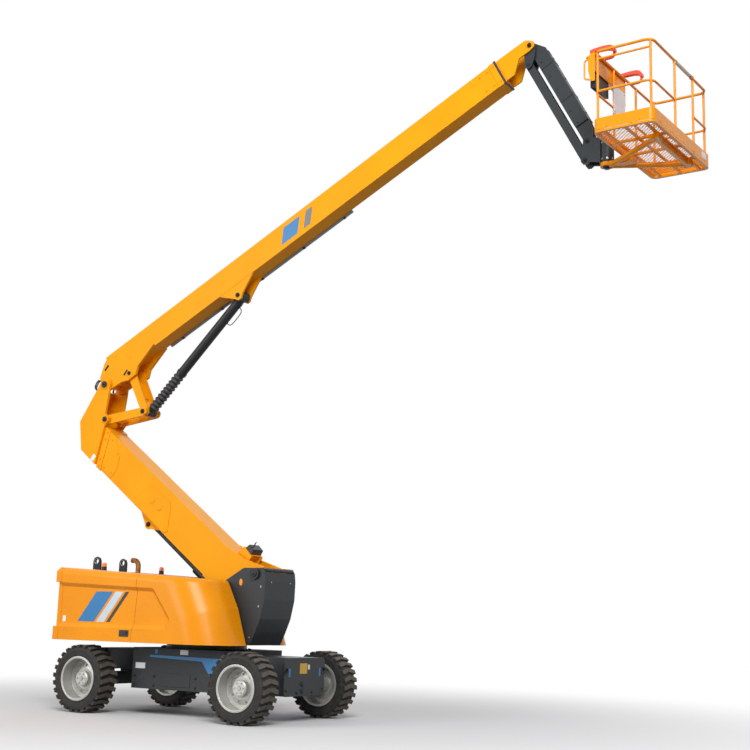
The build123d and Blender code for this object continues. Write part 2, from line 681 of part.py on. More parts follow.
def lower_link():
    base, length = cylinder_line(P2_X, P2_Z, J_X, J_Z)
    arm = [(-75, 0), (-50, -60), (0, -78), (length, -70), (length + 60, -45), (length + 75, 0),
           (length + 60, 45),
           (length, 70), (0, 78), (-50, 60)]
    parts = slabs(base, arm, 146, 184, [(0, 0, P2_R + FIT)])
    parts.append(disc(base, (160, 0), 45, -150, 150))
    parts += discs(base, (length, 0), 50, 146, 192)
    return join(parts)


def upper_link():
    base, length = cylinder_line(P4_X, P4_Z, J_X, J_Z)
    arm = [(-80, 0), (-55, -60), (0, -80), (length, -70), (length + 50, -50), (length + 70, 0),
           (length + 50, 50),
           (length, 70), (0, 80), (-55, 60)]
    parts = slabs(base, arm, 96, 131, [(0, 0, 34 + FIT)])
    parts.append(slab(base, rect(180, 480, -8, 8), -100, 100))
    return join(parts)


def lift_cylinder():
    base, length = cylinder_line(LIFT_X, LIFT_Z, J_X, J_Z)
    parts = [disc(base, (0, 0), 82, -92, 92), disc(base, (0, 0), 38, -142, 142)]
    parts.append(along(base, 40, 1710, 78, 55))
    return join(parts)


def lift_rod():
    base, length = cylinder_line(LIFT_X, LIFT_Z, J_X, J_Z)
    return join([along(base, 840, length - 50, 42), along(base, 840, 900, 54.5),
                 disc(base, (length, 0), 70, -85, 85, 34)])


def rod_boot():
    """Bellows over the rod, gland to eye."""
    base, length = cylinder_line(LIFT_X, LIFT_Z, J_X, J_Z)
    s0, s1 = 1711.0, length - 74
    step = (s1 - s0) / 9
    points = [(s0, BOOT_R - 24)]
    for i in range(9):
        points += [(s0 + step * i, BOOT_R - 10), (s0 + step * (i + 0.5), BOOT_R + 14)]
    points += [(s1, BOOT_R - 10), (s1, BOOT_R - 24)]
    x0, z0 = turned(*base[:3], (0, 0))
    with BuildPart() as p:
        with BuildSketch(side(base, 0)):
            with BuildLine():
                Polyline(*points, close=True)
            make_face()
        line = side(base, 0)
        revolve(axis=Axis(line.origin, line.x_dir))
    return p.part


# Jib

def head_pin():
    return disc(MAIN, HEAD_PIN, HEAD_PIN_R, -150, 150)


def jib_bracket():
    """Levelling bracket between the boom head, the jib arm and its lower link."""
    plate = [(-78, 40), (-30, 78), (40, 70), (80, 0), (70, -160),
             (LINK_DX + 60, LINK_DZ - 20), (LINK_DX + 20, LINK_DZ - 62),
             (LINK_DX - 25, LINK_DZ - 62), (LINK_DX - 65, LINK_DZ - 20), (-95, -120)]
    base = (HP_X, HP_Z, 0.0, 1)
    parts = slabs(base, plate, 82, 110, [(0, 0, HEAD_PIN_R + FIT)])
    parts.append(slab(base, rect(-92, -76, -230, -60), -84, 84))
    parts += discs(base, (LINK_DX, LINK_DZ), 24, 48, 110)
    return join(parts)


def jib_arm():
    body = tube(JIB, 290, JIB_L - 290, -45, 175, 100, 8)
    caps = [slab(JIB, rect(s, s + 10, -45, 175), -100, 100) for s in (290, JIB_L - 300)]
    upper = [(-50, -42), (-62, 0), (-40, 52), (150, 175), (350, 175), (350, -45), (90, -50), (0, -62)]
    lower = [(JIB_L - 350, -45), (JIB_L - 60, -46), (JIB_L, -58), (JIB_L + 48, -32), (JIB_L + 58, 0),
             (JIB_L + 40, 45), (JIB_L - 120, 150), (JIB_L - 350, 172)]
    parts = [body] + caps + slabs(JIB, upper, 46, 76, [(0, 0, HEAD_PIN_R + FIT)])
    parts += slabs(JIB, lower, 46, 76, [(JIB_L, 0, 26 + FIT)])
    return join(parts)


def jib_link():
    lx, lz = HP_X + LINK_DX, HP_Z + LINK_DZ
    base = (lx, lz, JIB_DEG, 1)
    arm = [(-58, 0), (-40, -42), (0, -56), (JIB_L, -56), (JIB_L + 40, -42), (JIB_L + 58, 0), (JIB_L + 40, 42),
           (JIB_L, 56), (0, 56), (-40, 42)]
    holes = [(0, 0, 24 + FIT), (JIB_L, 0, 24 + FIT)]
    parts = slabs(base, arm, 50, 78, holes)
    parts.append(slab(base, rect(300, JIB_L - 300, -56, -44), -52, 52))
    return join(parts)


def platform_support():
    """Upright at the jib's end with the rotator housing."""
    x, z = END_X, END_Z
    base = (x, z, 0.0, 1)
    reach = ROT_X - x
    plate = [(-60, -30), (-58, 40), (-20, 68), (40, 60), (reach - 60, 10), (reach - 60, -340),
             (LINK_DX + 60, LINK_DZ - 30), (LINK_DX + 15, LINK_DZ - 62), (LINK_DX - 30, LINK_DZ - 60),
             (LINK_DX - 62, LINK_DZ - 20), (LINK_DX - 60, LINK_DZ + 20)]
    parts = slabs(base, plate, 82, 110)
    parts += discs(base, (0, 0), 26, 44, 118)
    parts += discs(base, (LINK_DX, LINK_DZ), 24, 48, 116)
    parts.append(slab(base, rect(reach - 92, reach - 60, -340, 10), -110, 110))
    parts.append(post(ROT_X, 0, 100, z - 340, z - 20, 45 + FIT))
    return join(parts)


# Platform

def platform_mount():
    """Rotator output, brace tubes and clamps under the floor."""
    x, z = END_X, END_Z
    z0, z1 = z - 400, z - 341
    parts = [post(ROT_X, 0, 95, z0, z1), post(ROT_X, 0, 45, z0, z - 25)]
    parts.append(box(ROT_X, FLOOR_X0 + 160, -70, 70, z0, z1))
    top = FLOOR_Z - 30
    for hand in (-1, 1):
        parts.append(bar((ROT_X + 60, hand * 20, z0 + 17), (FLOOR_X1 - 160, hand * 560, top - 42), 38))
        parts.append(box(FLOOR_X1 - 230, FLOOR_X1 - 100, *sorted((hand * 500, hand * 620)), top - 75, top))
    parts.append(box(FLOOR_X1 - 195, FLOOR_X1 - 135, -560, 560, top - 75, top - 20))
    parts.append(box(FLOOR_X0 + 90, FLOOR_X0 + 160, -70, 70, z0, top))
    return join(parts)


def rounded_plate(inset, z0, z1, radius=90.0):
    with BuildPart() as p:
        with BuildSketch(Plane.XY.offset(z0)):
            with Locations(((FLOOR_X0 + FLOOR_X1) / 2, 0)):
                RectangleRounded(FLOOR_X1 - FLOOR_X0 - 2 * inset, 2 * FLOOR_HALF - 2 * inset, radius - inset)
        extrude(amount=z1 - z0)
    return p.part


def platform_floor():
    """Floor frame and deck with the toe board round it."""
    z = FLOOR_Z
    rim_frame = join([rounded_plate(0, z - 30, z)], [rounded_plate(45, z - 31, z + 1)])
    cross = [box(FLOOR_X0 + 20, FLOOR_X1 - 20, y - 20, y + 20, z - 30, z) for y in (-520, 0, 520)]
    run = box(FLOOR_X0 + 420, FLOOR_X0 + 460, -FLOOR_HALF + 20, FLOOR_HALF - 20, z - 30, z)
    return join([rim_frame, run, rounded_plate(2, z, z + 5)] + cross)


def toe_board():
    z0, z1 = FLOOR_Z + 5, FLOOR_Z + TOE_H
    return join([rounded_plate(0, z0, z1)], [rounded_plate(4, z0 - 1, z1 + 1)])


def rail_lines():
    return FLOOR_X0 + RAIL_IN, FLOOR_X1 - RAIL_IN, FLOOR_HALF - RAIL_IN


def rail_loop(z, r):
    """Bent tube round the platform, open at the entry."""
    x0, x1, y = rail_lines()
    path = [(x1, GATE_Y0, z), (x1, -y, z), (x0, -y, z), (x0, y, z), (x1, y, z), (x1, GATE_Y1, z)]
    return swept(path, r, RAIL_BEND)


def guard_rails():
    x0, x1, y = rail_lines()
    z0 = FLOOR_Z + 5
    parts = [rail_loop(RAIL_Z, RAIL_R), rail_loop(MID_Z, RAIL_R - 3)]
    for hand in (-1, 1):
        ear = sorted((x1 + hand * GATE_EAR, x1 + hand * (GATE_EAR + 8)))
        parts.append(box(*ear, GATE_HINGE, GATE_Y1 + 17, RAIL_Z - 22, RAIL_Z + 22))
    ear = GATE_EAR + 8
    parts.append(box(x1 - ear, x1 + ear, GATE_Y1 - 6, GATE_Y1 + 17, RAIL_Z - 22, RAIL_Z + 22))
    parts.append(bar((x1 - ear, GATE_HINGE, RAIL_Z), (x1 + ear, GATE_HINGE, RAIL_Z), GATE_PIN))
    parts += [bar((x1 + h * GATE_EAR, GATE_HINGE, RAIL_Z), (x1 + h * (GATE_EAR + 8), GATE_HINGE, RAIL_Z), 22)
              for h in (-1, 1)]
    parts.append(box(x1 - 20, x1 + 20, GATE_Y0 - 10, GATE_Y0 + 40, RAIL_Z - 34, RAIL_Z - 20.5))
    for px, py in post_places():
        parts.append(post(px, py, RAIL_R - 2, z0, RAIL_Z))
    (ax, ay), (bx, by) = post_places()[:2]
    parts.append(bar((ax, ay, RAIL_Z - 95), (bx, by, RAIL_Z - 95), RAIL_R - 5))
    return join(parts)


def post_places():
    """Posts: one in each bend, two on the console side and one each side of the entry."""
    x0, x1, y = rail_lines()
    d = RAIL_BEND * (1 - cos(radians(45)))
    return [(x0 + d, d - y), (x1 - d, d - y), (x1 - d, y - d), (x0 + d, y - d), (x0, -380), (x0, 380),
            (x1, GATE_Y0), (x1, GATE_Y1)]


def gate_bar():
    """Sleeved entry bar that lifts about a pin at one post."""
    x = FLOOR_X1 - RAIL_IN
    z = RAIL_Z
    parts = [bar((x, GATE_Y0 + 24, z), (x, GATE_HINGE - 15, z), 20),
             bar((x - GATE_EAR + 2, GATE_HINGE, z), (x + GATE_EAR - 2, GATE_HINGE, z), 22),
             box(x - 9, x + 9, GATE_HINGE - 30, GATE_HINGE, z - 14, z + 14)]
    return join(parts, [bar((x - 40, GATE_HINGE, z), (x + 40, GATE_HINGE, z), GATE_PIN + FIT)])


def console_span():
    y0 = -FLOOR_HALF + 80
    return y0, y0 + CONSOLE_W


def control_console():
    """Sloping box hung outside the rail, with a bent bar at each end."""
    x, z = FLOOR_X0 + RAIL_IN - RAIL_R - SEAT, RAIL_Z
    y0, y1 = console_span()
    body = slab(GROUND, [(x - 95, z - 215), (x, z - 240), (x, z + 22), (x - 95, z - 20)], y0, y1)
    lid = slab(GROUND, [(x - 125, z - 34), (x, z + 22), (x, z + 34), (x - 125, z - 22)], y0 - 10, y1 + 10)
    end = [(x - 95, z - 20), (x, z + 22), (x, z - 380), (x - 60, z - 380), (x - 95, z - 215)]
    parts = [body, lid]
    for y in (y0 - 5, y1 + 5):
        parts.append(slab(GROUND, end, y - 5, y + 5))
        path = [(x - 70, y, z - 45), (x - 150, y, z - 75), (x - 150, y, z - 330), (x - 40, y, z - 362)]
        parts.append(swept(path, 12, 40))
    return join(parts)


def console_tray():
    """Dark case under the console for the papers and the valve."""
    x, z = FLOOR_X0 + RAIL_IN - RAIL_R - SEAT, RAIL_Z
    y0 = console_span()[0]
    top = [(a, z - 215 - 25 * (a - x + 95) / 95 - SEAT) for a in (x - 20, x - 85)]
    return slab(GROUND, [(x - 85, z - 450), (x - 20, z - 460)] + top, y0 + 40, y0 + 480)


def hand_guards():
    """Two bent bars over the console that keep hands clear, each on a foot on the console's lid."""
    x, z = FLOOR_X0 + RAIL_IN - RAIL_R - SEAT, RAIL_Z
    y0, y1 = console_span()
    parts = []
    for y in (y0 + 40, y1 - 40):
        path = [(x - 66, y, z + 54), (x + 210, y, z + 54), (x + 270, y, z - 10), (x + 250, y, z - 88),
                (x + 130, y, z - 92)]
        parts.append(swept(path, 18, 42))
        foot = [(a, z + 34 + 56 * (a - x) / 125 + SEAT) for a in (x - 70, x - 2)]
        parts.append(slab(GROUND, foot + [(x - 2, z + 62), (x - 70, z + 62)], y - 34, y + 34))
        parts.append(box(x - 70, x + 150, y - 34, y + 34, z + 46, z + 64))
    return join(parts)


def notice_board():
    """Blank board under the console, on a post and the middle rail."""
    x = FLOOR_X0 + RAIL_IN + RAIL_R - 2 + SEAT
    y0 = console_span()[0]
    return box(x, x + 6, y0 + 520, y0 + 900, RAIL_Z - 660, RAIL_Z - 245)


PLATFORM = ("platform_mount", "platform_floor", "toe_board", "guard_rails", "gate_bar", "control_console",
            "console_tray", "hand_guards", "notice_board")


def turned_platform(part):
    return part.rotate(Axis((ROT_X, 0, 0), (0, 0, 1)), PLATFORM_TURN)


def main():
    os.makedirs("parts", exist_ok=True)
    skin, short_skin = hood_skin(0), hood_skin(NOSE_BACK)
    parts = {
        "chassis_frame": chassis_frame(), "steer_axle": steer_axle(), "drive_axle": drive_axle(),
        "slew_ring": slew_ring(), "knuckle_right": knuckle(-1), "knuckle_left": knuckle(1),
        "turntable_frame": turntable_frame(), "counterweight": counterweight(),
        "hood_nose_right": hood_nose(skin, -1), "hood_nose_left": hood_nose(short_skin, 1),
        "hood_door_right": hood_door(skin, -1), "hood_door_left": hood_door(skin, 1),
        "engine_block": engine_block(), "tank_block": tank_block(), "lifting_lugs": lifting_lugs(),
        "beacon_right": beacon(-1), "beacon_left": beacon(1),
        "exhaust_pipe": exhaust_pipe(), "tower_boom": tower_boom(), "rest_pad": rest_pad(),
        "tower_fly": tower_fly(), "tower_cylinder": tower_cylinder(), "tower_rod": tower_rod(),
        "upper_boom": upper_boom(), "conduit": conduit(), "upper_fly": upper_fly(),
        "lower_link": lower_link(), "upper_link": upper_link(), "lift_cylinder": lift_cylinder(),
        "lift_rod": lift_rod(), "rod_boot": rod_boot(), "head_pin": head_pin(), "jib_bracket": jib_bracket(),
        "jib_arm": jib_arm(), "jib_link": jib_link(), "platform_support": platform_support(),
        "platform_mount": platform_mount(), "platform_floor": platform_floor(), "toe_board": toe_board(),
        "guard_rails": guard_rails(), "gate_bar": gate_bar(), "control_console": control_console(),
        "console_tray": console_tray(), "hand_guards": hand_guards(), "notice_board": notice_board(),
    }
    cover = tyre()
    for end, x in (("steer", -WHEELBASE / 2), ("drive", WHEELBASE / 2)):
        for name, hand in (("right", -1), ("left", 1)):
            parts[f"tyre_{end}_{name}"] = cover.moved(Location((x, hand * TRACK / 2, TYRE_OD / 2)))
            parts[f"rim_{end}_{name}"] = rim(x, hand)
    for name, part in parts.items():
        if name in PLATFORM:
            part = turned_platform(part)
        part.label = name
        export_step(part, f"parts/{name}.step")


main()
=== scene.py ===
"""Looks for an articulating boom lift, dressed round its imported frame.

Row frame in metres: +X the way the upper boom points, +Y the machine's left, +Z up.
"""
import json
from math import cos, pi, radians, sin

import bmesh
import bpy
from bpy.props import FloatProperty, FloatVectorProperty, IntProperty, PointerProperty
from mathutils import Matrix, Vector


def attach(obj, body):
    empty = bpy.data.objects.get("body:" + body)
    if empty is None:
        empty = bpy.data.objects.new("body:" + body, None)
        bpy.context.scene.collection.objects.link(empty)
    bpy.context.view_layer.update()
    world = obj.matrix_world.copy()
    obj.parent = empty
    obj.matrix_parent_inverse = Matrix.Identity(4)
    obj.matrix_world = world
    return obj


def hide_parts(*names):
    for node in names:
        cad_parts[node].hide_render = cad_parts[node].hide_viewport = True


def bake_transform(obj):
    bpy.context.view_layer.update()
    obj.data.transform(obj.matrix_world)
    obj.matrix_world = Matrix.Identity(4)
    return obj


bl_info = {
    "name": "Boom Lift Dressing",
    "version": (1, 0, 0),
    "blender": (4, 5, 0),
    "location": "View3D > Sidebar > Boom Lift",
    "description": "Paint, fittings and stage for an articulating boom lift",
    "category": "Object",
}

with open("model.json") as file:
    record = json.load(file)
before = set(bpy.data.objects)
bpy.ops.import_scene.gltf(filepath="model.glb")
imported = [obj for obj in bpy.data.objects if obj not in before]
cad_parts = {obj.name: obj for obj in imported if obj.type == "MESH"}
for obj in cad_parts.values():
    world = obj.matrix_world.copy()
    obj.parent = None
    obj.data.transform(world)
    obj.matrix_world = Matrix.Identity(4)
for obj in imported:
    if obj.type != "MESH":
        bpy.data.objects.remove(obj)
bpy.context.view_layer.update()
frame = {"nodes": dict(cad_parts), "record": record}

# Measures of the frame that several pieces share, in metres
AXLE_X, HUB_Y, WHEEL_R = 1.5, 1.065, 0.5075
CHASSIS_SIDE, CHASSIS_END = 0.750, 1.845
HOOD_SIDE, TAIL_R = 1.155, 2.440
UPRIGHT_SIDE, TOWER_SIDE, RISER_SIDE = 0.400, 0.200, 0.240
FOOT_SIDE, TUBE_SIDE, COLLAR_SIDE = 0.185, 0.140, 0.148
JIB_SIDE, JIB_TOP, JIB_L = 0.100, 0.175, 1.840
BARREL_R = 0.0775
FILM, TAG, LABEL = 0.0012, 0.0015, 0.002   # thickness of thin film, thick film and blank plates
SIDES = (("right", -1), ("left", 1))
X, Y, Z = Vector((1, 0, 0)), Vector((0, 1, 0)), Vector((0, 0, 1))


def linear(code):
    """Linear colour of an sRGB hex value."""
    parts = [int(code[i:i + 2], 16) / 255 for i in (1, 3, 5)]
    return tuple(c / 12.92 if c <= 0.04045 else ((c + 0.055) / 1.055) ** 2.4 for c in parts)


def paint_property(name, code, what):
    """Colour setting with its default from a hex value."""
    return FloatVectorProperty(name=name, description=what, subtype="COLOR", size=3, min=0, max=1,
                               default=linear(code))


def size_property(name, value, what):
    """Length setting in metres."""
    return FloatProperty(name=name, description=what, default=value, min=0, subtype="DISTANCE",
                         unit="LENGTH")


class LiftColours(bpy.types.PropertyGroup):
    hood: paint_property("Hood enamel", "#FF9C00", "Orange of the hoods, tail and platform")
    boom: paint_property("Boom enamel", "#FFA600", "Yellow-orange of the booms and links")
    chassis: paint_property("Chassis enamel", "#33373A", "Dark grey of the chassis, uprights and jib")
    cylinder: paint_property("Cylinder enamel", "#242527", "Near black of the lift cylinders")
    rim: paint_property("Wheel enamel", "#BEBEB9", "Silver of the wheel rims")
    blue: paint_property("Stripe blue", "#2279B5", "Blue of the stripes")
    guard: paint_property("Hand guard", "#F2512E", "Red-orange of the hand guards on the console")
    amber: paint_property("Beacon lens", "#FF7A10", "Amber of the beacon lenses")


class LiftSizes(bpy.types.PropertyGroup):
    bolt: size_property("Bolt", 0.024, "Width across the flats of the structural bolts")
    wheel_nut: size_property("Wheel nut", 0.030, "Width across the flats of the wheel nuts")
    nut_count: IntProperty(name="Wheel nuts", description="Nuts on each wheel", default=9, min=4, max=16)
    hose: size_property("Hose", 0.016, "Outside diameter of the hydraulic hoses")
    strand: size_property("Floor strand", 0.0048, "Width of a strand of the platform's floor mesh")
    lens: FloatProperty(name="Lens", description="Camera lens in millimetres", default=60.18, min=10)


# Stage

CAMERA_AT = (12.405, -15.902, 1.494)
YAW, PITCH, ROLL = radians(30.85), radians(11.1), radians(1.64)


class BOOMLIFT_OT_stage(bpy.types.Operator):
    """Floor, studio light and the camera"""
    bl_idname = "boomlift.stage"
    bl_label = "Stage"

    def execute(self, context):
        look = Vector((-sin(YAW) * cos(PITCH), cos(YAW) * cos(PITCH), sin(PITCH)))
        right = Vector((cos(YAW), sin(YAW), 0))
        up = right.cross(look)
        across = cos(ROLL) * right + sin(ROLL) * up
        above = cos(ROLL) * up - sin(ROLL) * right
        cam = bpy.data.cameras.new("photo_view")
        cam.sensor_width = 36
        cam.lens = context.scene.boomlift_sizes.lens
        cam.clip_end = 400
        view = bpy.data.objects.new("photo_view", cam)
        view.matrix_world = Matrix((
            (across.x, above.x, -look.x, CAMERA_AT[0]), (across.y, above.y, -look.y, CAMERA_AT[1]),
            (across.z, above.z, -look.z, CAMERA_AT[2]), (0, 0, 0, 1)))
        context.collection.objects.link(view)
        context.scene.camera = view
        soft_lamp("key", (16, -20, 20), (1.5, 0, 3.5), 12, 6200)
        soft_lamp("fill", (-12, -24, 10), (0, 0, 3.5), 14, 2900)
        soft_lamp("rim", (-8, 22, 18), (1, 0, 4), 14, 1000)
        studio_world(context.scene)
        studio_floor()
        context.scene.view_settings.view_transform = "Standard"
        return {"FINISHED"}


def soft_lamp(name, at, aim, size, power):
    """Square area lamp aimed at a point."""
    lamp = bpy.data.lights.new(name, "AREA")
    lamp.size = size
    lamp.energy = power
    o = bpy.data.objects.new(name, lamp)
    o.location = at
    o.rotation_euler = (Vector(aim) - Vector(at)).to_track_quat("-Z", "Y").to_euler()
    bpy.context.collection.objects.link(o)


def add(tree, kind, feeds=None, **settings):
    """Adds a node, sets it up and links or fills its inputs."""
    n = tree.nodes.new(kind)
    for key, value in settings.items():
        setattr(n, key, value)
    for socket, value in (feeds or {}).items():
        if isinstance(value, bpy.types.Node):
            tree.links.new(value.outputs[0], n.inputs[socket])
        elif isinstance(value, bpy.types.NodeSocket):
            tree.links.new(value, n.inputs[socket])
        else:
            n.inputs[socket].default_value = value
    return n


def background_rays(tree):
    """Marks the rays that see the white background: the camera's, and those in gloss and glass."""
    path = add(tree, "ShaderNodeLightPath")
    seen = path.outputs["Is Camera Ray"]
    for kind in ("Is Glossy Ray", "Is Transmission Ray"):
        seen = add(tree, "ShaderNodeMath", {0: seen, 1: path.outputs[kind]}, operation="MAXIMUM")
    return seen


def studio_world(scene):
    """White to the eye, with dim cool light from all round."""
    world = bpy.data.worlds.new("studio")
    world.use_nodes = True
    t = world.node_tree
    t.nodes.clear()
    dim = add(t, "ShaderNodeBackground", {"Color": (0.93, 0.96, 1.0, 1), "Strength": 0.30})
    white = add(t, "ShaderNodeBackground", {"Color": (1, 1, 1, 1), "Strength": 1.0})
    mix = add(t, "ShaderNodeMixShader", {0: background_rays(t), 1: dim, 2: white})
    add(t, "ShaderNodeOutputWorld", {"Surface": mix})
    scene.world = world


def studio_floor():
    """Matt paper under the machine that runs out to plain white. It throws back less light than it shows,
    which leaves the machine's undersides as dark as they are in a large studio."""
    bm = bmesh.new()
    bmesh.ops.create_circle(bm, cap_ends=True, radius=120, segments=64)
    mesh = bpy.data.meshes.new("floor")
    bm.to_mesh(mesh)
    bm.free()
    o = bpy.data.objects.new("floor", mesh)
    o.location.z = -0.002
    bpy.context.collection.objects.link(o)
    mat = bpy.data.materials.new("matt_studio_paper")
    mat.use_nodes = True
    t = mat.node_tree
    t.nodes.clear()
    spot = add(t, "ShaderNodeNewGeometry")
    far = add(t, "ShaderNodeVectorMath", {0: spot.outputs["Position"]}, operation="LENGTH")
    fade = add(t, "ShaderNodeMapRange", {"Value": far.outputs["Value"], "From Min": 3.0, "From Max": 13.0},
               interpolation_type="SMOOTHSTEP")
    rays = background_rays(t)
    seen = add(t, "ShaderNodeMath", {0: fade, 1: rays}, operation="MULTIPLY")
    shade = add(t, "ShaderNodeMix", {0: rays, 6: rgba((0.30,) * 3), 7: rgba((0.82,) * 3)},
                data_type="RGBA")
    paper = add(t, "ShaderNodeBsdfDiffuse", {"Color": shade.outputs[2]})
    white = add(t, "ShaderNodeEmission", {"Color": (1, 1, 1, 1), "Strength": 1.0})
    mix = add(t, "ShaderNodeMixShader", {0: seen, 1: paper, 2: white})
    add(t, "ShaderNodeOutputMaterial", {"Surface": mix})
    mesh.materials.append(mat)


# Finishes

def blank(name):
    """Material with a plain shader. Returns the material, its tree, the shader and the object's own place,
    which is that of the row frame at rest."""
    mat = bpy.data.materials.new(name)
    mat.use_nodes = True
    t = mat.node_tree
    t.nodes.clear()
    shader = add(t, "ShaderNodeBsdfPrincipled")
    add(t, "ShaderNodeOutputMaterial", {"Surface": shader})
    return mat, t, shader, add(t, "ShaderNodeTexCoord").outputs["Object"]


def wire(tree, shader, colour, rough, bump):
    """Links the colour, the roughness and the bump of a finish to its shader."""
    for socket, value in (("Base Color", colour), ("Roughness", rough), ("Normal", bump)):
        if value:
            tree.links.new(value, shader.inputs[socket])


def per(size_mm):
    """Texture scale whose features are about size_mm across. Grain, peel and scratches finer than a few
    millimetres don't show at the camera's distance, so they are drawn that much coarser."""
    return 1000.0 / size_mm


def rgba(colour, lift=1.0):
    """Colour for a socket, made lighter or darker by lift."""
    return tuple(min(1.0, c * lift) for c in colour) + (1.0,)


def enamel(name, colour, rough=0.30, dust=0.35, dust_top=1.3, shine=0.22, flake=0.0):
    """Sprayed two-pack enamel on steel plate: broad sun-faded patches, faint orange peel, thin edges in a
    lighter copy of the paint that are part wear of the coat and part painted highlight, and road dust that
    thickens towards the ground. The peel is drawn at 9 mm, coarser than the real 2 mm, to show."""
    mat, t, shader, where = blank(name)
    patch = add(t, "ShaderNodeTexNoise", {"Vector": where, "Scale": per(700), "Detail": 3.0})
    fleck = add(t, "ShaderNodeTexNoise",
                {"Vector": where, "Scale": per(28), "Detail": 5.0, "Roughness": 0.62})
    tone = add(t, "ShaderNodeMapRange", {"Value": patch, "From Min": 0.3, "From Max": 0.7})
    body = add(t, "ShaderNodeMix", {0: tone, 6: rgba(colour, 0.93), 7: rgba(colour, 1.05)},
               data_type="RGBA")
    split = add(t, "ShaderNodeSeparateXYZ", {0: where})
    low = add(t, "ShaderNodeMapRange", {"Value": split.outputs["Z"], "From Min": dust_top, "From Max": 0.2})
    speck = add(t, "ShaderNodeMapRange", {"Value": fleck, "From Min": 0.42, "From Max": 0.72})
    soil = add(t, "ShaderNodeMath", {0: low, 1: speck}, operation="MULTIPLY")
    soil = add(t, "ShaderNodeMath", {0: soil, 1: dust}, operation="MULTIPLY")
    dirty = add(t, "ShaderNodeMix", {0: soil, 6: body.outputs[2], 7: rgba(linear("#9A8E7C"))},
                data_type="RGBA")
    soft = add(t, "ShaderNodeBevel", {"Radius": 0.006}, samples=4)
    facing = add(t, "ShaderNodeNewGeometry")
    agree = add(t, "ShaderNodeVectorMath", {0: soft, 1: facing.outputs["Normal"]}, operation="DOT_PRODUCT")
    # Edges lighter in the paint's own colour: partly wear, partly a painted highlight.
    edge = add(t, "ShaderNodeMapRange",
               {"Value": agree.outputs["Value"], "From Min": 0.985, "From Max": 0.80})
    wear_and_highlight = add(t, "ShaderNodeMath", {0: edge, 1: speck}, operation="MULTIPLY")
    wear_and_highlight = add(t, "ShaderNodeMath", {0: wear_and_highlight, 1: 0.5}, operation="MULTIPLY")
    worn = add(t, "ShaderNodeMix", {0: wear_and_highlight, 6: dirty.outputs[2], 7: rgba(colour, 1.35)}, data_type="RGBA")
    sheen = add(t, "ShaderNodeMapRange", {"Value": fleck, "To Min": rough - 0.05, "To Max": rough + 0.10})
    dull = add(t, "ShaderNodeMath", {0: sheen, 1: soil}, operation="ADD")
    peel = add(t, "ShaderNodeTexNoise", {"Vector": where, "Scale": per(9), "Detail": 1.0})
    bump = add(t, "ShaderNodeBump", {"Strength": 0.035, "Distance": 0.002, "Height": peel, "Normal": soft})
    wire(t, shader, worn.outputs[2], dull.outputs[0], bump.outputs[0])
    shader.inputs["Specular IOR Level"].default_value = shine
    shader.inputs["Metallic"].default_value = flake
    shader.inputs["Coat Weight"].default_value = 0.03
    shader.inputs["Coat Roughness"].default_value = 0.15
    return mat


def tyre_rubber():
    """Foam-filled natural rubber: dull black-brown, lug tops worn pale, sandy dust, and faint mould marks
    drawn at 7 mm, coarser than real ones, to show."""
    mat, t, shader, where = blank("vulcanised_tyre_rubber")
    dust = add(t, "ShaderNodeTexNoise",
               {"Vector": where, "Scale": per(90), "Detail": 6.0, "Roughness": 0.7})
    grain = add(t, "ShaderNodeTexNoise", {"Vector": where, "Scale": per(7), "Detail": 3.0})
    pale = add(t, "ShaderNodeMapRange",
               {"Value": dust, "From Min": 0.42, "From Max": 0.75, "To Max": 0.45})
    col = add(t, "ShaderNodeMix", {0: pale, 6: rgba(linear("#1E1D1C")), 7: rgba(linear("#55504A"))},
              data_type="RGBA")
    split = add(t, "ShaderNodeSeparateXYZ", {0: where})
    fore = add(t, "ShaderNodeMath", {0: split.outputs["X"]}, operation="ABSOLUTE")
    round_axle = add(t, "ShaderNodeCombineXYZ", {"X": fore, "Z": split.outputs["Z"]})
    reach = add(t, "ShaderNodeVectorMath", {0: round_axle, 1: (AXLE_X, 0, WHEEL_R)}, operation="DISTANCE")
    top = add(t, "ShaderNodeMapRange",
              {"Value": reach.outputs["Value"], "From Min": 0.490, "From Max": 0.502})
    scuff = add(t, "ShaderNodeMapRange",
                {"Value": dust, "From Min": 0.3, "From Max": 0.6, "To Min": 0.35, "To Max": 0.85})
    worn = add(t, "ShaderNodeMath", {0: top, 1: scuff}, operation="MULTIPLY")
    tread = add(t, "ShaderNodeMix", {0: worn, 6: col.outputs[2], 7: rgba(linear("#655D53"))},
                data_type="RGBA")
    dull = add(t, "ShaderNodeMapRange", {"Value": dust, "To Min": 0.62, "To Max": 0.92})
    bump = add(t, "ShaderNodeBump", {"Strength": 0.25, "Distance": 0.003, "Height": grain})
    wire(t, shader, tread.outputs[2], dull.outputs[0], bump.outputs[0])
    return mat


def moulded_rubber(name, code):
    """Moulded nitrile rubber of hoses, boots and pads: near black, soft sheen, and a cloth print drawn at
    6 mm, coarser than the real 1 mm, to show."""
    mat, t, shader, where = blank(name)
    cloth = add(t, "ShaderNodeTexNoise", {"Vector": where, "Scale": per(6), "Detail": 4.0})
    col = add(t, "ShaderNodeMix", {0: cloth, 6: rgba(linear(code)), 7: rgba(linear("#38383A"))},
              data_type="RGBA")
    dull = add(t, "ShaderNodeMapRange", {"Value": cloth, "To Min": 0.42, "To Max": 0.68})
    bump = add(t, "ShaderNodeBump", {"Strength": 0.12, "Distance": 0.001, "Height": cloth})
    wire(t, shader, col.outputs[2], dull.outputs[0], bump.outputs[0])
    return mat


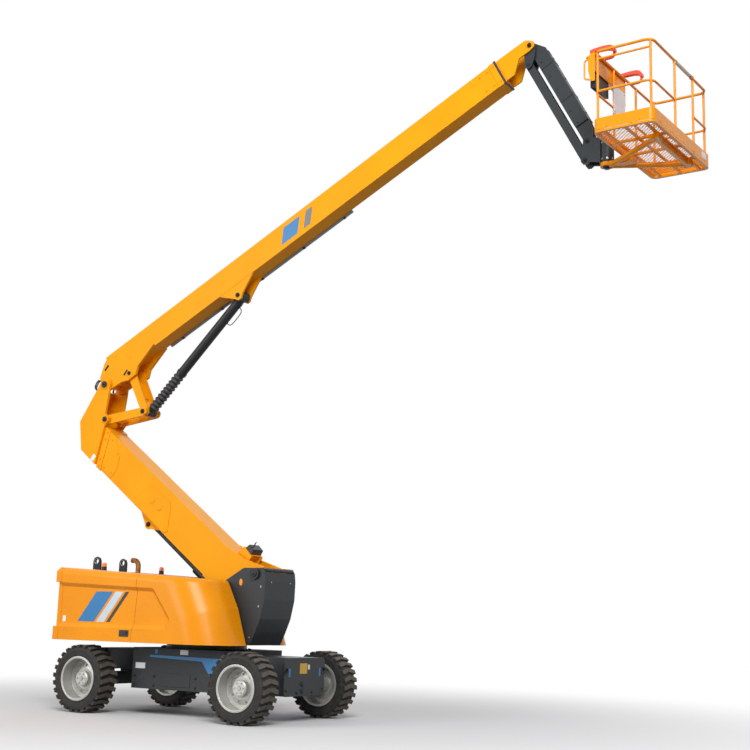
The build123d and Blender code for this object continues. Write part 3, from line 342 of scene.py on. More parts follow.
def turned_steel(name, code, rough, scratch=14):
    """Zinc-plated or ground steel: bright metal with dull patches and turning marks, drawn coarse to show."""
    mat, t, shader, where = blank(name)
    marks = add(t, "ShaderNodeTexNoise", {"Vector": where, "Scale": per(scratch), "Detail": 6.0})
    col = add(t, "ShaderNodeMix", {0: marks, 6: rgba(linear(code)), 7: rgba(linear(code), 1.3)},
              data_type="RGBA")
    dull = add(t, "ShaderNodeMapRange", {"Value": marks, "To Min": rough - 0.08, "To Max": rough + 0.14})
    shader.inputs["Metallic"].default_value = 1.0
    bump = add(t, "ShaderNodeBump", {"Strength": 0.05, "Distance": 0.001, "Height": marks})
    wire(t, shader, col.outputs[2], dull.outputs[0], bump.outputs[0])
    return mat


def stained_steel():
    """Mild steel exhaust, heat-blued and rusted: brown scale in blotches over grey metal."""
    mat, t, shader, where = blank("heat_stained_steel")
    blotch = add(t, "ShaderNodeTexNoise",
                 {"Vector": where, "Scale": per(60), "Detail": 7.0, "Roughness": 0.7})
    ramp = add(t, "ShaderNodeValToRGB", {0: blotch})
    for stop, code, place in zip(ramp.color_ramp.elements, ("#5B3A22", "#B5793A"), (0.35, 0.68)):
        stop.color = rgba(linear(code))
        stop.position = place
    dull = add(t, "ShaderNodeMapRange", {"Value": blotch, "To Min": 0.38, "To Max": 0.85})
    shader.inputs["Metallic"].default_value = 0.6
    bump = add(t, "ShaderNodeBump", {"Strength": 0.2, "Distance": 0.001, "Height": blotch})
    wire(t, shader, ramp.outputs[0], dull.outputs[0], bump.outputs[0])
    return mat


def amber_lens(colour):
    """Injection-moulded polycarbonate lens: clear amber, glossy, with moulded vertical flutes 8 mm apart."""
    mat, t, shader, where = blank("amber_polycarbonate")
    flutes = add(t, "ShaderNodeTexWave", {"Vector": where, "Scale": per(8) / 6.3},
                 bands_direction="DIAGONAL")
    glow = add(t, "ShaderNodeMix", {0: flutes, 6: rgba(colour, 0.8), 7: rgba(colour, 1.15)},
               data_type="RGBA")
    shader.inputs["Roughness"].default_value = 0.16
    shader.inputs["IOR"].default_value = 1.58
    shader.inputs["Emission Color"].default_value = rgba(colour)
    shader.inputs["Emission Strength"].default_value = 0.12
    bump = add(t, "ShaderNodeBump", {"Strength": 0.2, "Distance": 0.002, "Height": flutes})
    wire(t, shader, glow.outputs[2], None, bump.outputs[0])
    return mat


def moulded_plastic(name, colour, rough=0.45, grain_mm=3):
    """Moulded ABS, foam or film: even colour, slight scuffing, and a spark-eroded grain drawn at 3 or 5 mm,
    coarser than the real 0.5 mm, to show."""
    mat, t, shader, where = blank(name)
    grain = add(t, "ShaderNodeTexNoise", {"Vector": where, "Scale": per(grain_mm), "Detail": 2.0})
    scuff = add(t, "ShaderNodeTexNoise", {"Vector": where, "Scale": per(70), "Detail": 5.0})
    col = add(t, "ShaderNodeMix", {0: scuff, 6: rgba(colour, 0.85), 7: rgba(colour, 1.12)},
              data_type="RGBA")
    dull = add(t, "ShaderNodeMapRange", {"Value": scuff, "To Min": rough - 0.08, "To Max": rough + 0.15})
    bump = add(t, "ShaderNodeBump", {"Strength": 0.08, "Distance": 0.001, "Height": grain})
    wire(t, shader, col.outputs[2], dull.outputs[0], bump.outputs[0])
    return mat


def make_finishes(colours):
    """One material for each slot of the record."""
    return {
        "orange_paint": enamel("sprayed_orange_enamel", colours.hood, 0.24, 0.08, 1.5, 0.24),
        "boom_paint": enamel("sprayed_boom_enamel", colours.boom, 0.46, 0.06, 1.5, 0.14),
        "dark_paint": enamel("sprayed_dark_grey_enamel", colours.chassis, 0.42, 0.08, 1.4),
        "black_paint": enamel("sprayed_black_enamel", colours.cylinder, 0.34, 0.15, 1.4),
        "rim_silver": enamel("sprayed_silver_enamel", colours.rim, 0.36, 0.25, 1.4, flake=0.6),
        "pipe_grey": enamel("sprayed_pale_grey_enamel", linear("#8E9296"), 0.4, 0.2, 1.4),
        "tyre": tyre_rubber(),
        "black_rubber": moulded_rubber("moulded_black_rubber", "#17181A"),
        "pin_steel": turned_steel("zinc_plated_steel", "#9C9C98", 0.34),
        "exhaust_steel": stained_steel(),
        "cast_block": enamel("brushed_on_block_paint", linear("#2C2E30"), 0.55, 0.6, 2.0),
        "lamp_amber": amber_lens(colours.amber),
        "grip_white": moulded_plastic("white_foam_sleeve", linear("#F4EFE2"), 0.75, 5),
        "guard_red": moulded_plastic("red_orange_moulded_plastic", colours.guard, 0.38),
        "blank_white": moulded_plastic("white_laminate", linear("#F1F2F5"), 0.42),
        "film_blue": moulded_plastic("blue_vinyl_film", colours.blue, 0.32),
        "film_grey": moulded_plastic("grey_vinyl_film", linear("#70757C"), 0.36),
        "film_pale": moulded_plastic("pale_vinyl_film", linear("#C9DDEB"), 0.34),
        "film_yellow": moulded_plastic("yellow_vinyl_film", linear("#D9A92E"), 0.36),
        "film_black": moulded_plastic("black_vinyl_film", linear("#20242A"), 0.38),
        "black_plastic": moulded_plastic("black_moulded_plastic", linear("#1C1D1F"), 0.5),
    }


FINISH = {}


class BOOMLIFT_OT_finishes(bpy.types.Operator):
    """Paint, rubber and metal on every part of the frame"""
    bl_idname = "boomlift.finishes"
    bl_label = "Finishes"

    def execute(self, context):
        FINISH.update(make_finishes(context.scene.boomlift_colours))
        for part in frame["record"]["subparts"]:
            node = frame["nodes"][part["node"]]
            node.data.materials.clear()
            node.data.materials.append(FINISH[part["material_slot"]])
        return {"FINISHED"}


# Members of the machine, at rest

def member(x, z, deg, up=1):
    """Maps along, across and sideways on a member to a point of the row frame."""
    a = radians(deg)

    def point(s, h, y=0.0):
        return Vector((x + s * cos(a) - up * h * sin(a), y, z + s * sin(a) + up * h * cos(a)))
    return point


def axes(point):
    """Directions along and across a member."""
    return point(1, 0) - point(0, 0), point(0, 1) - point(0, 0)


# Pins of the upper boom and the lower link on the riser, of the upper link and the lift cylinder on the
# boom, of the jib on the boom's head, and of the links and the lift rod on one another
TOWER = member(1.150, 2.140, 143.0, -1)
BOOM_PIN = TOWER(4.657, 0.462)
LINK_PIN = TOWER(4.248, 0.018)
UPPER = member(BOOM_PIN.x, BOOM_PIN.z, 28.0)
FOOT_PIN = UPPER(0.503, -0.075)
LIFT_PIN = UPPER(2.950, -0.086)
HEAD_PIN = UPPER(8.972, 0.352)
JIB = member(HEAD_PIN.x, HEAD_PIN.z, -61.8)
KNEE_PIN = Vector((-1.460, 0, 4.810))
LINK_DROP = Vector((-0.030, 0, -0.282))   # from the jib's pins to the pins of the link below it
END = JIB(JIB_L, 0)
ROTATOR_X = END.x + 0.255
TOWER_ALONG, TOWER_ACROSS = axes(TOWER)
UPPER_ALONG, UPPER_ACROSS = axes(UPPER)
JIB_ALONG, JIB_ACROSS = axes(JIB)


def piece(name, bm, slot, body=None, smooth=30):
    """Turns a bmesh into a piece that rides on a body, where one is named."""
    mesh = bpy.data.meshes.new(name)
    bmesh.ops.recalc_face_normals(bm, faces=bm.faces)
    bm.to_mesh(mesh)
    bm.free()
    for f in mesh.polygons:
        f.use_smooth = True
    mesh.set_sharp_from_angle(angle=radians(smooth))
    o = bpy.data.objects.new(name, mesh)
    mesh.materials.append(FINISH[slot])
    bpy.context.collection.objects.link(o)
    if body:
        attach(o, body)
    return o


def stand(at, out):
    """Matrix that puts +Z along out at a point."""
    turn = Z.rotation_difference(Vector(out)).to_matrix().to_4x4()
    return Matrix.Translation(at) @ turn


def ring(bm, at, out, r, depth, segments=24, r_top=None):
    """Closed round boss standing on a face."""
    bmesh.ops.create_cone(bm, cap_ends=True, segments=segments, radius1=r,
                          radius2=r if r_top is None else r_top, depth=depth,
                          matrix=stand(at, out) @ Matrix.Translation((0, 0, depth / 2)))


def bolt(bm, at, out, flats):
    """Hex head with a washer and a domed top."""
    corner, washer, head = flats / 1.732, flats * 0.12, flats * 0.48
    ring(bm, at, out, flats * 0.95, washer, 20)
    up = Vector(out).normalized()
    at = Vector(at) + up * washer
    ring(bm, at, out, corner, head, 6)
    ring(bm, at + up * head, out, corner * 0.92, flats * 0.10, 6, corner * 0.62)


def plate(bm, corners, out, thick, soft=0.0):
    """Plate from a loop of corners, raised by thick along out, with softened outer edges."""
    lift = Vector(out).normalized() * thick
    low = [bm.verts.new(Vector(c)) for c in corners]
    high = [bm.verts.new(Vector(c) + lift) for c in corners]
    n = len(corners)
    bm.faces.new(list(reversed(low)))
    top = bm.faces.new(high)
    for i in range(n):
        bm.faces.new((low[i], low[(i + 1) % n], high[(i + 1) % n], high[i]))
    if soft:
        bmesh.ops.bevel(bm, geom=list(top.edges), offset=soft, segments=2, affect="EDGES")


def hose(name, points, diameter, slot, body):
    """Hose or pipe on a smooth line, fixed at both ends."""
    curve = bpy.data.curves.new(name, "CURVE")
    curve.dimensions = "3D"
    curve.bevel_depth = diameter / 2
    curve.bevel_resolution = 3
    curve.use_fill_caps = True
    spline = curve.splines.new("NURBS")
    spline.points.add(len(points) - 1)
    for p, at in zip(spline.points, points):
        p.co = (*at, 1)
    spline.order_u = 3
    spline.use_endpoint_u = True
    spline.resolution_u = 8
    curve.materials.append(FINISH[slot])
    o = bpy.data.objects.new(name, curve)
    bpy.context.collection.objects.link(o)
    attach(o, body)
    return o


def bow(a, b, out, reach):
    """Route of a hose that leaves a straight towards out and comes back to b."""
    out, step = Vector(out).normalized() * reach, (b - a) * 0.12
    return [a, a + out * 0.45, a + out + step, b + out - step, b + out * 0.45, b]


def free_hose(name, route, diameter, body):
    """Rubber hose between two fittings of the machine."""
    o = hose(name, route, diameter, "black_rubber", body)


def hoop(bm, at, out, big, small, turns=64, sides=8):
    """Round rolled bead or bent bar in a full ring."""
    m = stand(at, out)
    loops = []
    section = [(big + small * cos(b), small * sin(b)) for b in (2 * pi * k / sides for k in range(sides))]
    for a in (2 * pi * i / turns for i in range(turns)):
        loops.append([bm.verts.new(m @ Vector((r * cos(a), r * sin(a), h))) for r, h in section])
    for i in range(turns):
        p, q = loops[i], loops[(i + 1) % turns]
        for k in range(sides):
            bm.faces.new((p[k], q[k], q[(k + 1) % sides], p[(k + 1) % sides]))


def card(at, right, up, width, height):
    """Corners of an upright rectangle about a point."""
    r, u = Vector(right).normalized() * width / 2, Vector(up).normalized() * height / 2
    return [Vector(at) - r - u, Vector(at) + r - u, Vector(at) + r + u, Vector(at) - r + u]


def slant(x, z, width, height, lean):
    """Corners of a leaning band."""
    return ((x, z), (x + width, z), (x + width + lean, z + height), (x + lean, z + height))


def lathe(bm, at, axis, rows, turns):
    """Turned form from rows of radius and height. A zero radius closes an end, and a bored form gets its
    inner wall."""
    m = stand(at, axis)
    turn = [(cos(2 * pi * k / turns), sin(2 * pi * k / turns)) for k in range(turns)]
    loops = [[bm.verts.new(m @ Vector((r * c, r * s, h))) for c, s in (turn if r > 0 else turn[:1])]
             for r, h in rows]
    bored = rows[0][0] > 0 and rows[-1][0] > 0
    for p, q in zip(loops, loops[1:] + loops[:bored]):
        for k in range(turns):
            n = (k + 1) % turns
            if len(q) == 1:
                bm.faces.new((p[k], p[n], q[0]))
            elif len(p) == 1:
                bm.faces.new((p[0], q[n], q[k]))
            else:
                bm.faces.new((p[k], p[n], q[n], q[k]))


def side_card(bm, x, y, z, width, height, thick, soft=0.0):
    """Upright plate on a side face. The sign of y says which side."""
    plate(bm, card((x, y, z), X, Z, width, height), (0, y, 0), thick, soft)


def end_card(bm, x, y, z, width, height, thick):
    """Upright plate on an end face. The sign of x says which end."""
    plate(bm, card((x, y, z), Y, Z, width, height), (x, 0, 0), thick)


def pin_head(bm, at, out, r, flats):
    """Turned pin end with a keeper plate and its bolt."""
    at, up = Vector(at), Vector(out)
    ring(bm, at, out, r, 0.010, 32)
    ring(bm, at + up * 0.010, out, r * 0.86, 0.006, 32, r * 0.78)
    bolt(bm, at + up * 0.016, out, flats)


def pin_ends(name, at, y, r, flats, body):
    """Both heads of a pin that runs across the machine."""
    bm = bmesh.new()
    for hand in (-1, 1):
        pin_head(bm, Vector((at.x, hand * y, at.z)), (0, hand, 0), r, flats)
    piece(name, bm, "black_paint", body)


# Wheels

WHEELS = [("wheel_%s_%s" % (axle, side), x, hand)
          for axle, x in (("steer", -AXLE_X), ("drive", AXLE_X)) for side, hand in SIDES]
NUT_CIRCLE, HUB_CIRCLE, HUB_FACE = 0.196, 0.074, 0.085
RIM_BEADS = ((0.173, 0.3155, 0.0095), (-0.0175, 0.288, 0.009), (0.070, 0.1160, 0.006))   # off the hub, radii
SIDEWALL_RIBS = ((0.1725, 0.352), (0.1740, 0.388), (0.1755, 0.416))   # off the hub, radius
LUGS, LUG_FOOT, LUG_TOP = 13, 0.466, 0.5032   # lugs in each row of the frame's tyres, and their radii
LUG_PLAN = ((-0.026, 0.016), (0.036, 0.016), (0.068, 0.1575), (0.068, 0.1750), (0.006, 0.1750),
            (0.000, 0.1435), (-0.022, 0.070))   # round the wheel, off its middle


def tread_lugs(bm, middle):
    """Lugs in two rows, each midway between two lugs of the frame's tyre."""
    for row in (-1, 1):
        plan = LUG_PLAN if row > 0 else LUG_PLAN[::-1]
        for i in range(LUGS):
            a = 2 * pi * (i + 0.25 * row + 0.5) / LUGS
            up, along = Vector((sin(a), 0, cos(a))), Vector((cos(a), 0, -sin(a)))
            foot = [middle + up * LUG_FOOT + along * t + Vector((0, row * y, 0)) for t, y in plan]
            plate(bm, foot, up, LUG_TOP - LUG_FOOT, 0.004)


class BOOMLIFT_OT_wheels(bpy.types.Operator):
    """Wheel nuts, hub bolts, rim beads, sidewall ribs and the lugs between the tyres' lugs"""
    bl_idname = "boomlift.wheels"
    bl_label = "Wheels"

    def execute(self, context):
        sizes = context.scene.boomlift_sizes
        for body, x, hand in WHEELS:
            hub = Vector((x, hand * HUB_Y, WHEEL_R))
            out = Vector((0, hand, 0))
            bm = bmesh.new()
            for i in range(sizes.nut_count):
                a = 2 * pi * (i + 0.25) / sizes.nut_count
                at = hub + Vector((NUT_CIRCLE * cos(a), hand * -0.004, NUT_CIRCLE * sin(a)))
                bolt(bm, at, out, sizes.wheel_nut)
                ring(bm, at, out, sizes.wheel_nut * 0.28, 0.030, 12)
            for i in range(6):
                a = 2 * pi * i / 6
                at = hub + Vector((HUB_CIRCLE * cos(a), hand * HUB_FACE, HUB_CIRCLE * sin(a)))
                bolt(bm, at, out, sizes.bolt * 0.7)
            ring(bm, hub + out * HUB_FACE, out, 0.034, 0.012, 28, 0.030)
            ring(bm, hub + Vector((0.205, hand * -0.018, 0.185)), out, 0.007, 0.050, 10)
            piece(body + "_nuts", bm, "pin_steel", body)
            bm = bmesh.new()
            for off, r, bead in RIM_BEADS:
                hoop(bm, hub + out * off, out, r, bead)
            piece(body + "_beads", bm, "rim_silver", body)
            bm = bmesh.new()
            for off, r in SIDEWALL_RIBS:
                hoop(bm, hub + out * off, out, r, 0.005)
            piece(body + "_sidewall_ribs", bm, "tyre", body)
            bm = bmesh.new()
            tread_lugs(bm, hub)
            piece(body + "_tread_lugs", bm, "tyre", body)
        return {"FINISHED"}


# Chassis

SLEW_BOLTS, SLEW_CIRCLE, SLEW_Z = 28, 0.672, 1.0


def slew_bolts(bm, flats):
    """Ring of bolts that holds the slew ring down."""
    for a in (2 * pi * i / SLEW_BOLTS for i in range(SLEW_BOLTS)):
        bolt(bm, (SLEW_CIRCLE * cos(a), SLEW_CIRCLE * sin(a), SLEW_Z), Z, flats)


class BOOMLIFT_OT_chassis(bpy.types.Operator):
    """Stripe, blank plates, tie-down rings and bolts of the chassis"""
    bl_idname = "boomlift.chassis"
    bl_label = "Chassis"

    def execute(self, context):
        flats = context.scene.boomlift_sizes.bolt
        stripe = ((-0.50, 0.895), (0.87, 0.880), (0.74, 0.660), (0.63, 0.660), (0.50, 0.830), (-0.50, 0.862))
        bm = bmesh.new()
        for hand in (-1, 1):
            plate(bm, [(x, hand * CHASSIS_SIDE, z) for x, z in stripe], (0, hand, 0), TAG)
            for y in (-0.40, 0.40):
                end_card(bm, hand * CHASSIS_END, y, 0.72, 0.045, 0.12, TAG)
            side_card(bm, -0.38, hand * CHASSIS_SIDE, 0.950, 0.05, 0.06, TAG)
        piece("chassis_blue_film", bm, "film_blue", "chassis")
        bm = bmesh.new()
        for hand in (-1, 1):
            side_card(bm, -0.68, hand * CHASSIS_SIDE, 0.730, 0.19, 0.085, LABEL)
            side_card(bm, 0.16, hand * CHASSIS_SIDE, 0.950, 0.15, 0.070, LABEL)
        end_card(bm, CHASSIS_END, 0.10, 0.795, 0.05, 0.07, LABEL)
        piece("chassis_blank_plates", bm, "blank_white", "chassis")
        bm = bmesh.new()
        end_card(bm, CHASSIS_END, -0.04, 0.775, 0.19, 0.15, LABEL)
        piece("chassis_yellow_plate", bm, "film_yellow", "chassis")
        bm = bmesh.new()
        slew_bolts(bm, flats)
        for x, y, z in ((CHASSIS_END, 0.485, 0.740), (-CHASSIS_END, 0.350, 0.790)):
            for hand in (-1, 1):
                hoop(bm, (x, hand * y, z), X, 0.049, 0.010, 36)
        for z in (0.45, 0.55):
            ring(bm, (CHASSIS_END, -0.06, z), X, 0.034, 0.022, 24, 0.028)
        for hand in (-1, 1):
            for x in (-0.78, -0.40, 0.40, 0.84):
                for z in (0.44, 0.58):
                    bolt(bm, (x, hand * CHASSIS_SIDE, z), (0, hand, 0), flats)
            for y, z in ((0.20, 0.43), (0.48, 0.47)):
                bolt(bm, (CHASSIS_END, hand * y, z), X, flats)
        piece("chassis_fasteners", bm, "black_paint", "chassis")
        bm = bmesh.new()
        for hand in (-1, 1):
            side_card(bm, 0.02, hand * CHASSIS_SIDE, 0.535, 0.56, 0.20, 0.006, 0.003)
        piece("chassis_side_covers", bm, "dark_paint", "chassis")
        return {"FINISHED"}


# Hoods

BANDS = (("film_blue", -1.66, 0.34), ("film_pale", -1.27, 0.15), ("film_black", -1.07, 0.07))
BAND_FOOT, BAND_HIGH, BAND_LEAN = 1.365, 0.46, 0.36
LATCH_Y = HOOD_SIDE + 0.045
HOOD_TAIL, HOOD_LONG, HOOD_HIGH, HOOD_FALL = -2.010, 3.210, 2.190, 0.185
BEACON_X, BEACON_Y = -1.600, 0.700
EXHAUST_END = Vector((-1.320, -0.360, 2.340))


def hood_top(x):
    """Height of the hood's top, which falls towards the nose."""
    return HOOD_HIGH - HOOD_FALL * (x - HOOD_TAIL) / HOOD_LONG


class BOOMLIFT_OT_hoods(bpy.types.Operator):
    """Latches, plain bands, beacons and the exhaust's mouth"""
    bl_idname = "boomlift.hoods"
    bl_label = "Hoods"

    def execute(self, context):
        flats = context.scene.boomlift_sizes.bolt
        for side, hand in SIDES:
            door = "door_" + side
            for slot, x0, width in BANDS:
                corners = slant(x0, BAND_FOOT, width, BAND_HIGH, BAND_LEAN)
                bm = bmesh.new()
                plate(bm, [(x, hand * HOOD_SIDE, z) for x, z in corners], (0, hand, 0), FILM)
                piece("hood_band_%s_%s" % (slot[5:], side), bm, slot, door)
            bm = bmesh.new()
            side_card(bm, -0.66, hand * LATCH_Y, 1.205, 0.19, 0.100, 0.004, 0.002)
            side_card(bm, -0.66, hand * (LATCH_Y + 0.004), 1.215, 0.12, 0.045, 0.012, 0.005)
            piece("hood_latch_" + side, bm, "black_plastic", door)
            bm = bmesh.new()
            side_card(bm, -1.94, hand * HOOD_SIDE, 1.400, 0.06, 0.09, TAG)
            piece("hood_blank_plate_" + side, bm, "blank_white", door)
            self.beacon(side, hand, door)
        self.exhaust()
        self.tail(flats)
        return {"FINISHED"}

    def beacon(self, side, hand, door):
        """Black foot and a ribbed lens with a domed top."""
        bm = bmesh.new()
        at = Vector((BEACON_X, hand * BEACON_Y, hood_top(BEACON_X - 0.042) + 0.0002))
        ring(bm, at, Z, 0.046, 0.012, 40)
        ring(bm, at + Z * 0.012, Z, 0.041, 0.036, 40)
        hoop(bm, at + Z * 0.050, Z, 0.038, 0.006, 40)
        piece("beacon_foot_" + side, bm, "black_plastic", door)
        bm = bmesh.new()
        rows = [(0, 0.048), (0.036, 0.048), (0.038, 0.056), (0.038, 0.072), (0.0365, 0.075), (0.038, 0.078),
                (0.038, 0.094), (0.036, 0.106), (0.028, 0.114), (0.014, 0.119), (0, 0.120)]
        lathe(bm, at, Z, rows, 40)
        lens = piece("beacon_lens_" + side, bm, "lamp_amber", door, 60)
        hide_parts("beacon_" + side)

    def exhaust(self):
        """Rolled lip of the exhaust pipe, and a black disc just inside it as painted shade of the pipe's dark
        inside.
        """
        bm = bmesh.new()
        hoop(bm, EXHAUST_END, X, 0.037, 0.005, 40)
        piece("exhaust_lip", bm, "exhaust_steel", "turntable")
        # Black disc just inside the pipe's end: painted shade where the pipe's inside lies in shadow.
        bm = bmesh.new()
        ring(bm, EXHAUST_END + X * 0.0005, -X, 0.035, 0.001, 40)
        piece("exhaust_mouth_painted_shade", bm, "black_rubber", "turntable")

    def tail(self, flats):
        """Cover bolts and a blank plate on the round tail, and rings in the lifting lugs' eyes."""
        bm = bmesh.new()
        for deg in (-24, -12, 0, 12, 24):
            a = radians(180 + deg)
            for z in (1.16, 1.235):
                bolt(bm, (TAIL_R * cos(a), TAIL_R * sin(a), z), (cos(a), sin(a), 0), flats)
        piece("tail_bolts", bm, "black_paint", "turntable")
        bm = bmesh.new()
        end_card(bm, 0.0455 - TAIL_R, 0, 1.320, 0.26, 0.07, 0.004)
        piece("tail_blank_plate", bm, "blank_white", "turntable")
        bm = bmesh.new()
        for hand in (-1, 1):
            for face in (-1, 1):
                hoop(bm, (-2.110, hand * 0.313 + face * 0.020, 2.330), Y, 0.043, 0.005, 40)
        piece("lug_eye_rings", bm, "pin_steel", "turntable")


# Turntable

class BOOMLIFT_OT_turntable(bpy.types.Operator):
    """Bolts, holes and the roller of the tower's uprights"""
    bl_idname = "boomlift.turntable"
    bl_label = "Turntable"

    def execute(self, context):
        flats = context.scene.boomlift_sizes.bolt
        bm = bmesh.new()
        for hand in (-1, 1):
            for x, z in ((1.125, 1.20), (1.270, 1.66), (1.298, 1.95)):
                bolt(bm, (x - 0.035, hand * UPRIGHT_SIDE, z), (0, hand, 0), flats * 0.6)
        for y in (-0.25, 0.25):
            bolt(bm, (1.336, y, 2.02), (1, 0, 0.01), flats * 0.9)
        piece("upright_bolts", bm, "pin_steel", "turntable")
        bm = bmesh.new()
        drop = [(0.030 * cos(a) + 0.89, 0.042 * sin(a) + 2.005 + 0.02 * max(0, sin(a)))
                for a in (2 * pi * k / 28 for k in range(28))]
        for hand in (-1, 1):
            plate(bm, [(x, hand * UPRIGHT_SIDE, z) for x, z in drop], (0, hand, 0), FILM)
        piece("upright_hole_shades", bm, "orange_paint", "turntable")
        bm = bmesh.new()
        roller = [(0, 0), (0.020, 0), (0.020, 0.03), (0.027, 0.034), (0.027, 0.686), (0.020, 0.690),
                  (0.020, 0.720), (0, 0.720)]
        lathe(bm, (1.306, -0.360, 2.203), Y, roller, 28)
        piece("rest_roller", bm, "black_rubber", "turntable")
        bm = bmesh.new()
        plate(bm, card((1.262, 0, 2.232), Y, X, 2 * UPRIGHT_SIDE, 0.050), Z, 0.008, 0.003)
        piece("upright_top_strip", bm, "orange_paint", "turntable")
        return {"FINISHED"}


# Tower

TOWER_RAKE = 0.250 / 0.610   # run of the tower's slanting end over its depth
DOUBLER = ((1.98, -0.685), (2.78, -0.685), (2.86, -0.60), (2.70, -0.27), (2.60, -0.22), (2.22, -0.22),
           (2.12, -0.30), (1.93, -0.62))
COLLAR_STRIP = ((3.50, -0.675), (3.785, -0.675), (4.01, -0.115), (3.84, -0.115), (3.58, -0.28), (3.48, -0.50))
REST_NEAR, REST_FAR, REST_SIDE = (0.425, 0.1415), (0.543, 0.1562), 0.12
# Each hose's place off centre, how far its bow reaches out, and its length
RISER_HOSES = ((0.2000, 0.0757, 0.275), (0.2175, 0.0834, 0.288), (0.2350, 0.0910, 0.301))


class BOOMLIFT_OT_tower(bpy.types.Operator):
    """Doubler, collar bolts, pin heads and the hoses at the riser head"""
    bl_idname = "boomlift.tower"
    bl_label = "Tower boom"

    def execute(self, context):
        sizes = context.scene.boomlift_sizes
        flats = sizes.bolt
        bm = bmesh.new()
        for hand in (-1, 1):
            out = (0, hand, 0)
            plate(bm, [TOWER(s, h, hand * TOWER_SIDE) for s, h in DOUBLER], out, 0.010, 0.004)
            for s in (2.32, 2.52):
                ring(bm, TOWER(s, -0.42, hand * (TOWER_SIDE + 0.010)), out, 0.058, 0.005, 36)
                ring(bm, TOWER(s, -0.42, hand * (TOWER_SIDE + 0.015)), out, 0.046, 0.004, 36, 0.042)
            plate(bm, [TOWER(s, h, hand * TOWER_SIDE) for s, h in COLLAR_STRIP], out, 0.006, 0.003)
        piece("tower_doublers", bm, "boom_paint", "tower")
        bm = bmesh.new()
        for hand in (-1, 1):
            for h in (-0.66, -0.55, -0.24, -0.13):
                at = TOWER(3.84 + TOWER_RAKE * (h + 0.70), h, hand * (TOWER_SIDE + 0.012))
                bolt(bm, at, (0, hand, 0), flats * 0.8)
            for s, h in ((3.56, -0.60), (3.66, -0.28), (3.74, -0.62), (3.90, -0.17)):
                bolt(bm, TOWER(s, h, hand * (TOWER_SIDE + 0.006)), (0, hand, 0), flats * 0.7)
        piece("collar_bolts", bm, "boom_paint", "tower")
        bm = bmesh.new()
        for hand in (-1, 1):
            ring(bm, TOWER(0, 0, hand * (UPRIGHT_SIDE + 0.002)), (0, hand, 0), 0.083, 0.034, 48)
            pin_head(bm, TOWER(0, 0, hand * (UPRIGHT_SIDE + 0.036)), (0, hand, 0), 0.046, flats)
        piece("foot_pin_heads", bm, "black_paint", "tower")
        pin_ends("tower_rod_pin_heads", TOWER(2.385, -0.800), 0.140, 0.034, flats, "tower_rod")
        self.riser(sizes)
        self.rest()
        return {"FINISHED"}

    def riser(self, sizes):
        """Pins, bosses, blank plates and hoses of the riser head."""
        bm = bmesh.new()
        for hand in (-1, 1):
            for at, y, r in ((BOOM_PIN, 0.258, 0.056), (LINK_PIN, 0.252, 0.046)):
                pin_head(bm, Vector((at.x, hand * y, at.z)), (0, hand, 0), r, sizes.bolt)
        piece("riser_pin_heads", bm, "black_paint", "riser")
        bm = bmesh.new()
        for hand in (-1, 1):
            for at, r in ((BOOM_PIN, 0.088), (LINK_PIN, 0.070)):
                ring(bm, Vector((at.x, hand * RISER_SIDE, at.z)), (0, hand, 0), r, 0.008, 40)
        piece("riser_bosses", bm, "boom_paint", "riser")
        bm = bmesh.new()
        for hand in (-1, 1):
            corners = card(TOWER(4.03, -0.62, hand * RISER_SIDE), TOWER_ALONG, TOWER_ACROSS, 0.07, 0.11)
            plate(bm, corners, (0, hand, 0), LABEL)
        piece("riser_blank_plates", bm, "blank_white", "riser")
        for side, hand in SIDES:
            for i, (off, reach, length) in enumerate(RISER_HOSES, 1):
                low, high = TOWER(4.742, 0.28, hand * off), TOWER(4.760, 0.45, hand * off)
                route = bow(low, high, TOWER_ALONG, reach)
                free_hose("riser_hose_%s_%d" % (side, i), route, sizes.hose, "riser")

    def rest(self):
        """Rest block's cap and its small lever on the tower's foot."""
        bm = bmesh.new()
        corners = [TOWER(*REST_NEAR, -REST_SIDE), TOWER(*REST_FAR, -REST_SIDE), TOWER(*REST_FAR, REST_SIDE),
                   TOWER(*REST_NEAR, REST_SIDE)]
        plate(bm, corners, TOWER_ACROSS, 0.012, 0.004)
        ring(bm, TOWER(0.50, 0.160, -0.06), TOWER_ACROSS + TOWER_ALONG * 0.02, 0.012, 0.085, 14, 0.008)
        piece("rest_block_cap", bm, "black_rubber", "tower")


# Links and lift cylinder

LIFT_REACH, LIFT_LINE = (KNEE_PIN - LIFT_PIN).length, (KNEE_PIN - LIFT_PIN).normalized()
LIFT_UNDER = Vector((LIFT_LINE.z, 0, -LIFT_LINE.x)) * (1 if LIFT_LINE.x > 0 else -1)
PORTS = (0.16, 0.50)   # the hose's two fittings, along the barrel from its pin
FOLDS, FOLD_STEPS = 10, 8


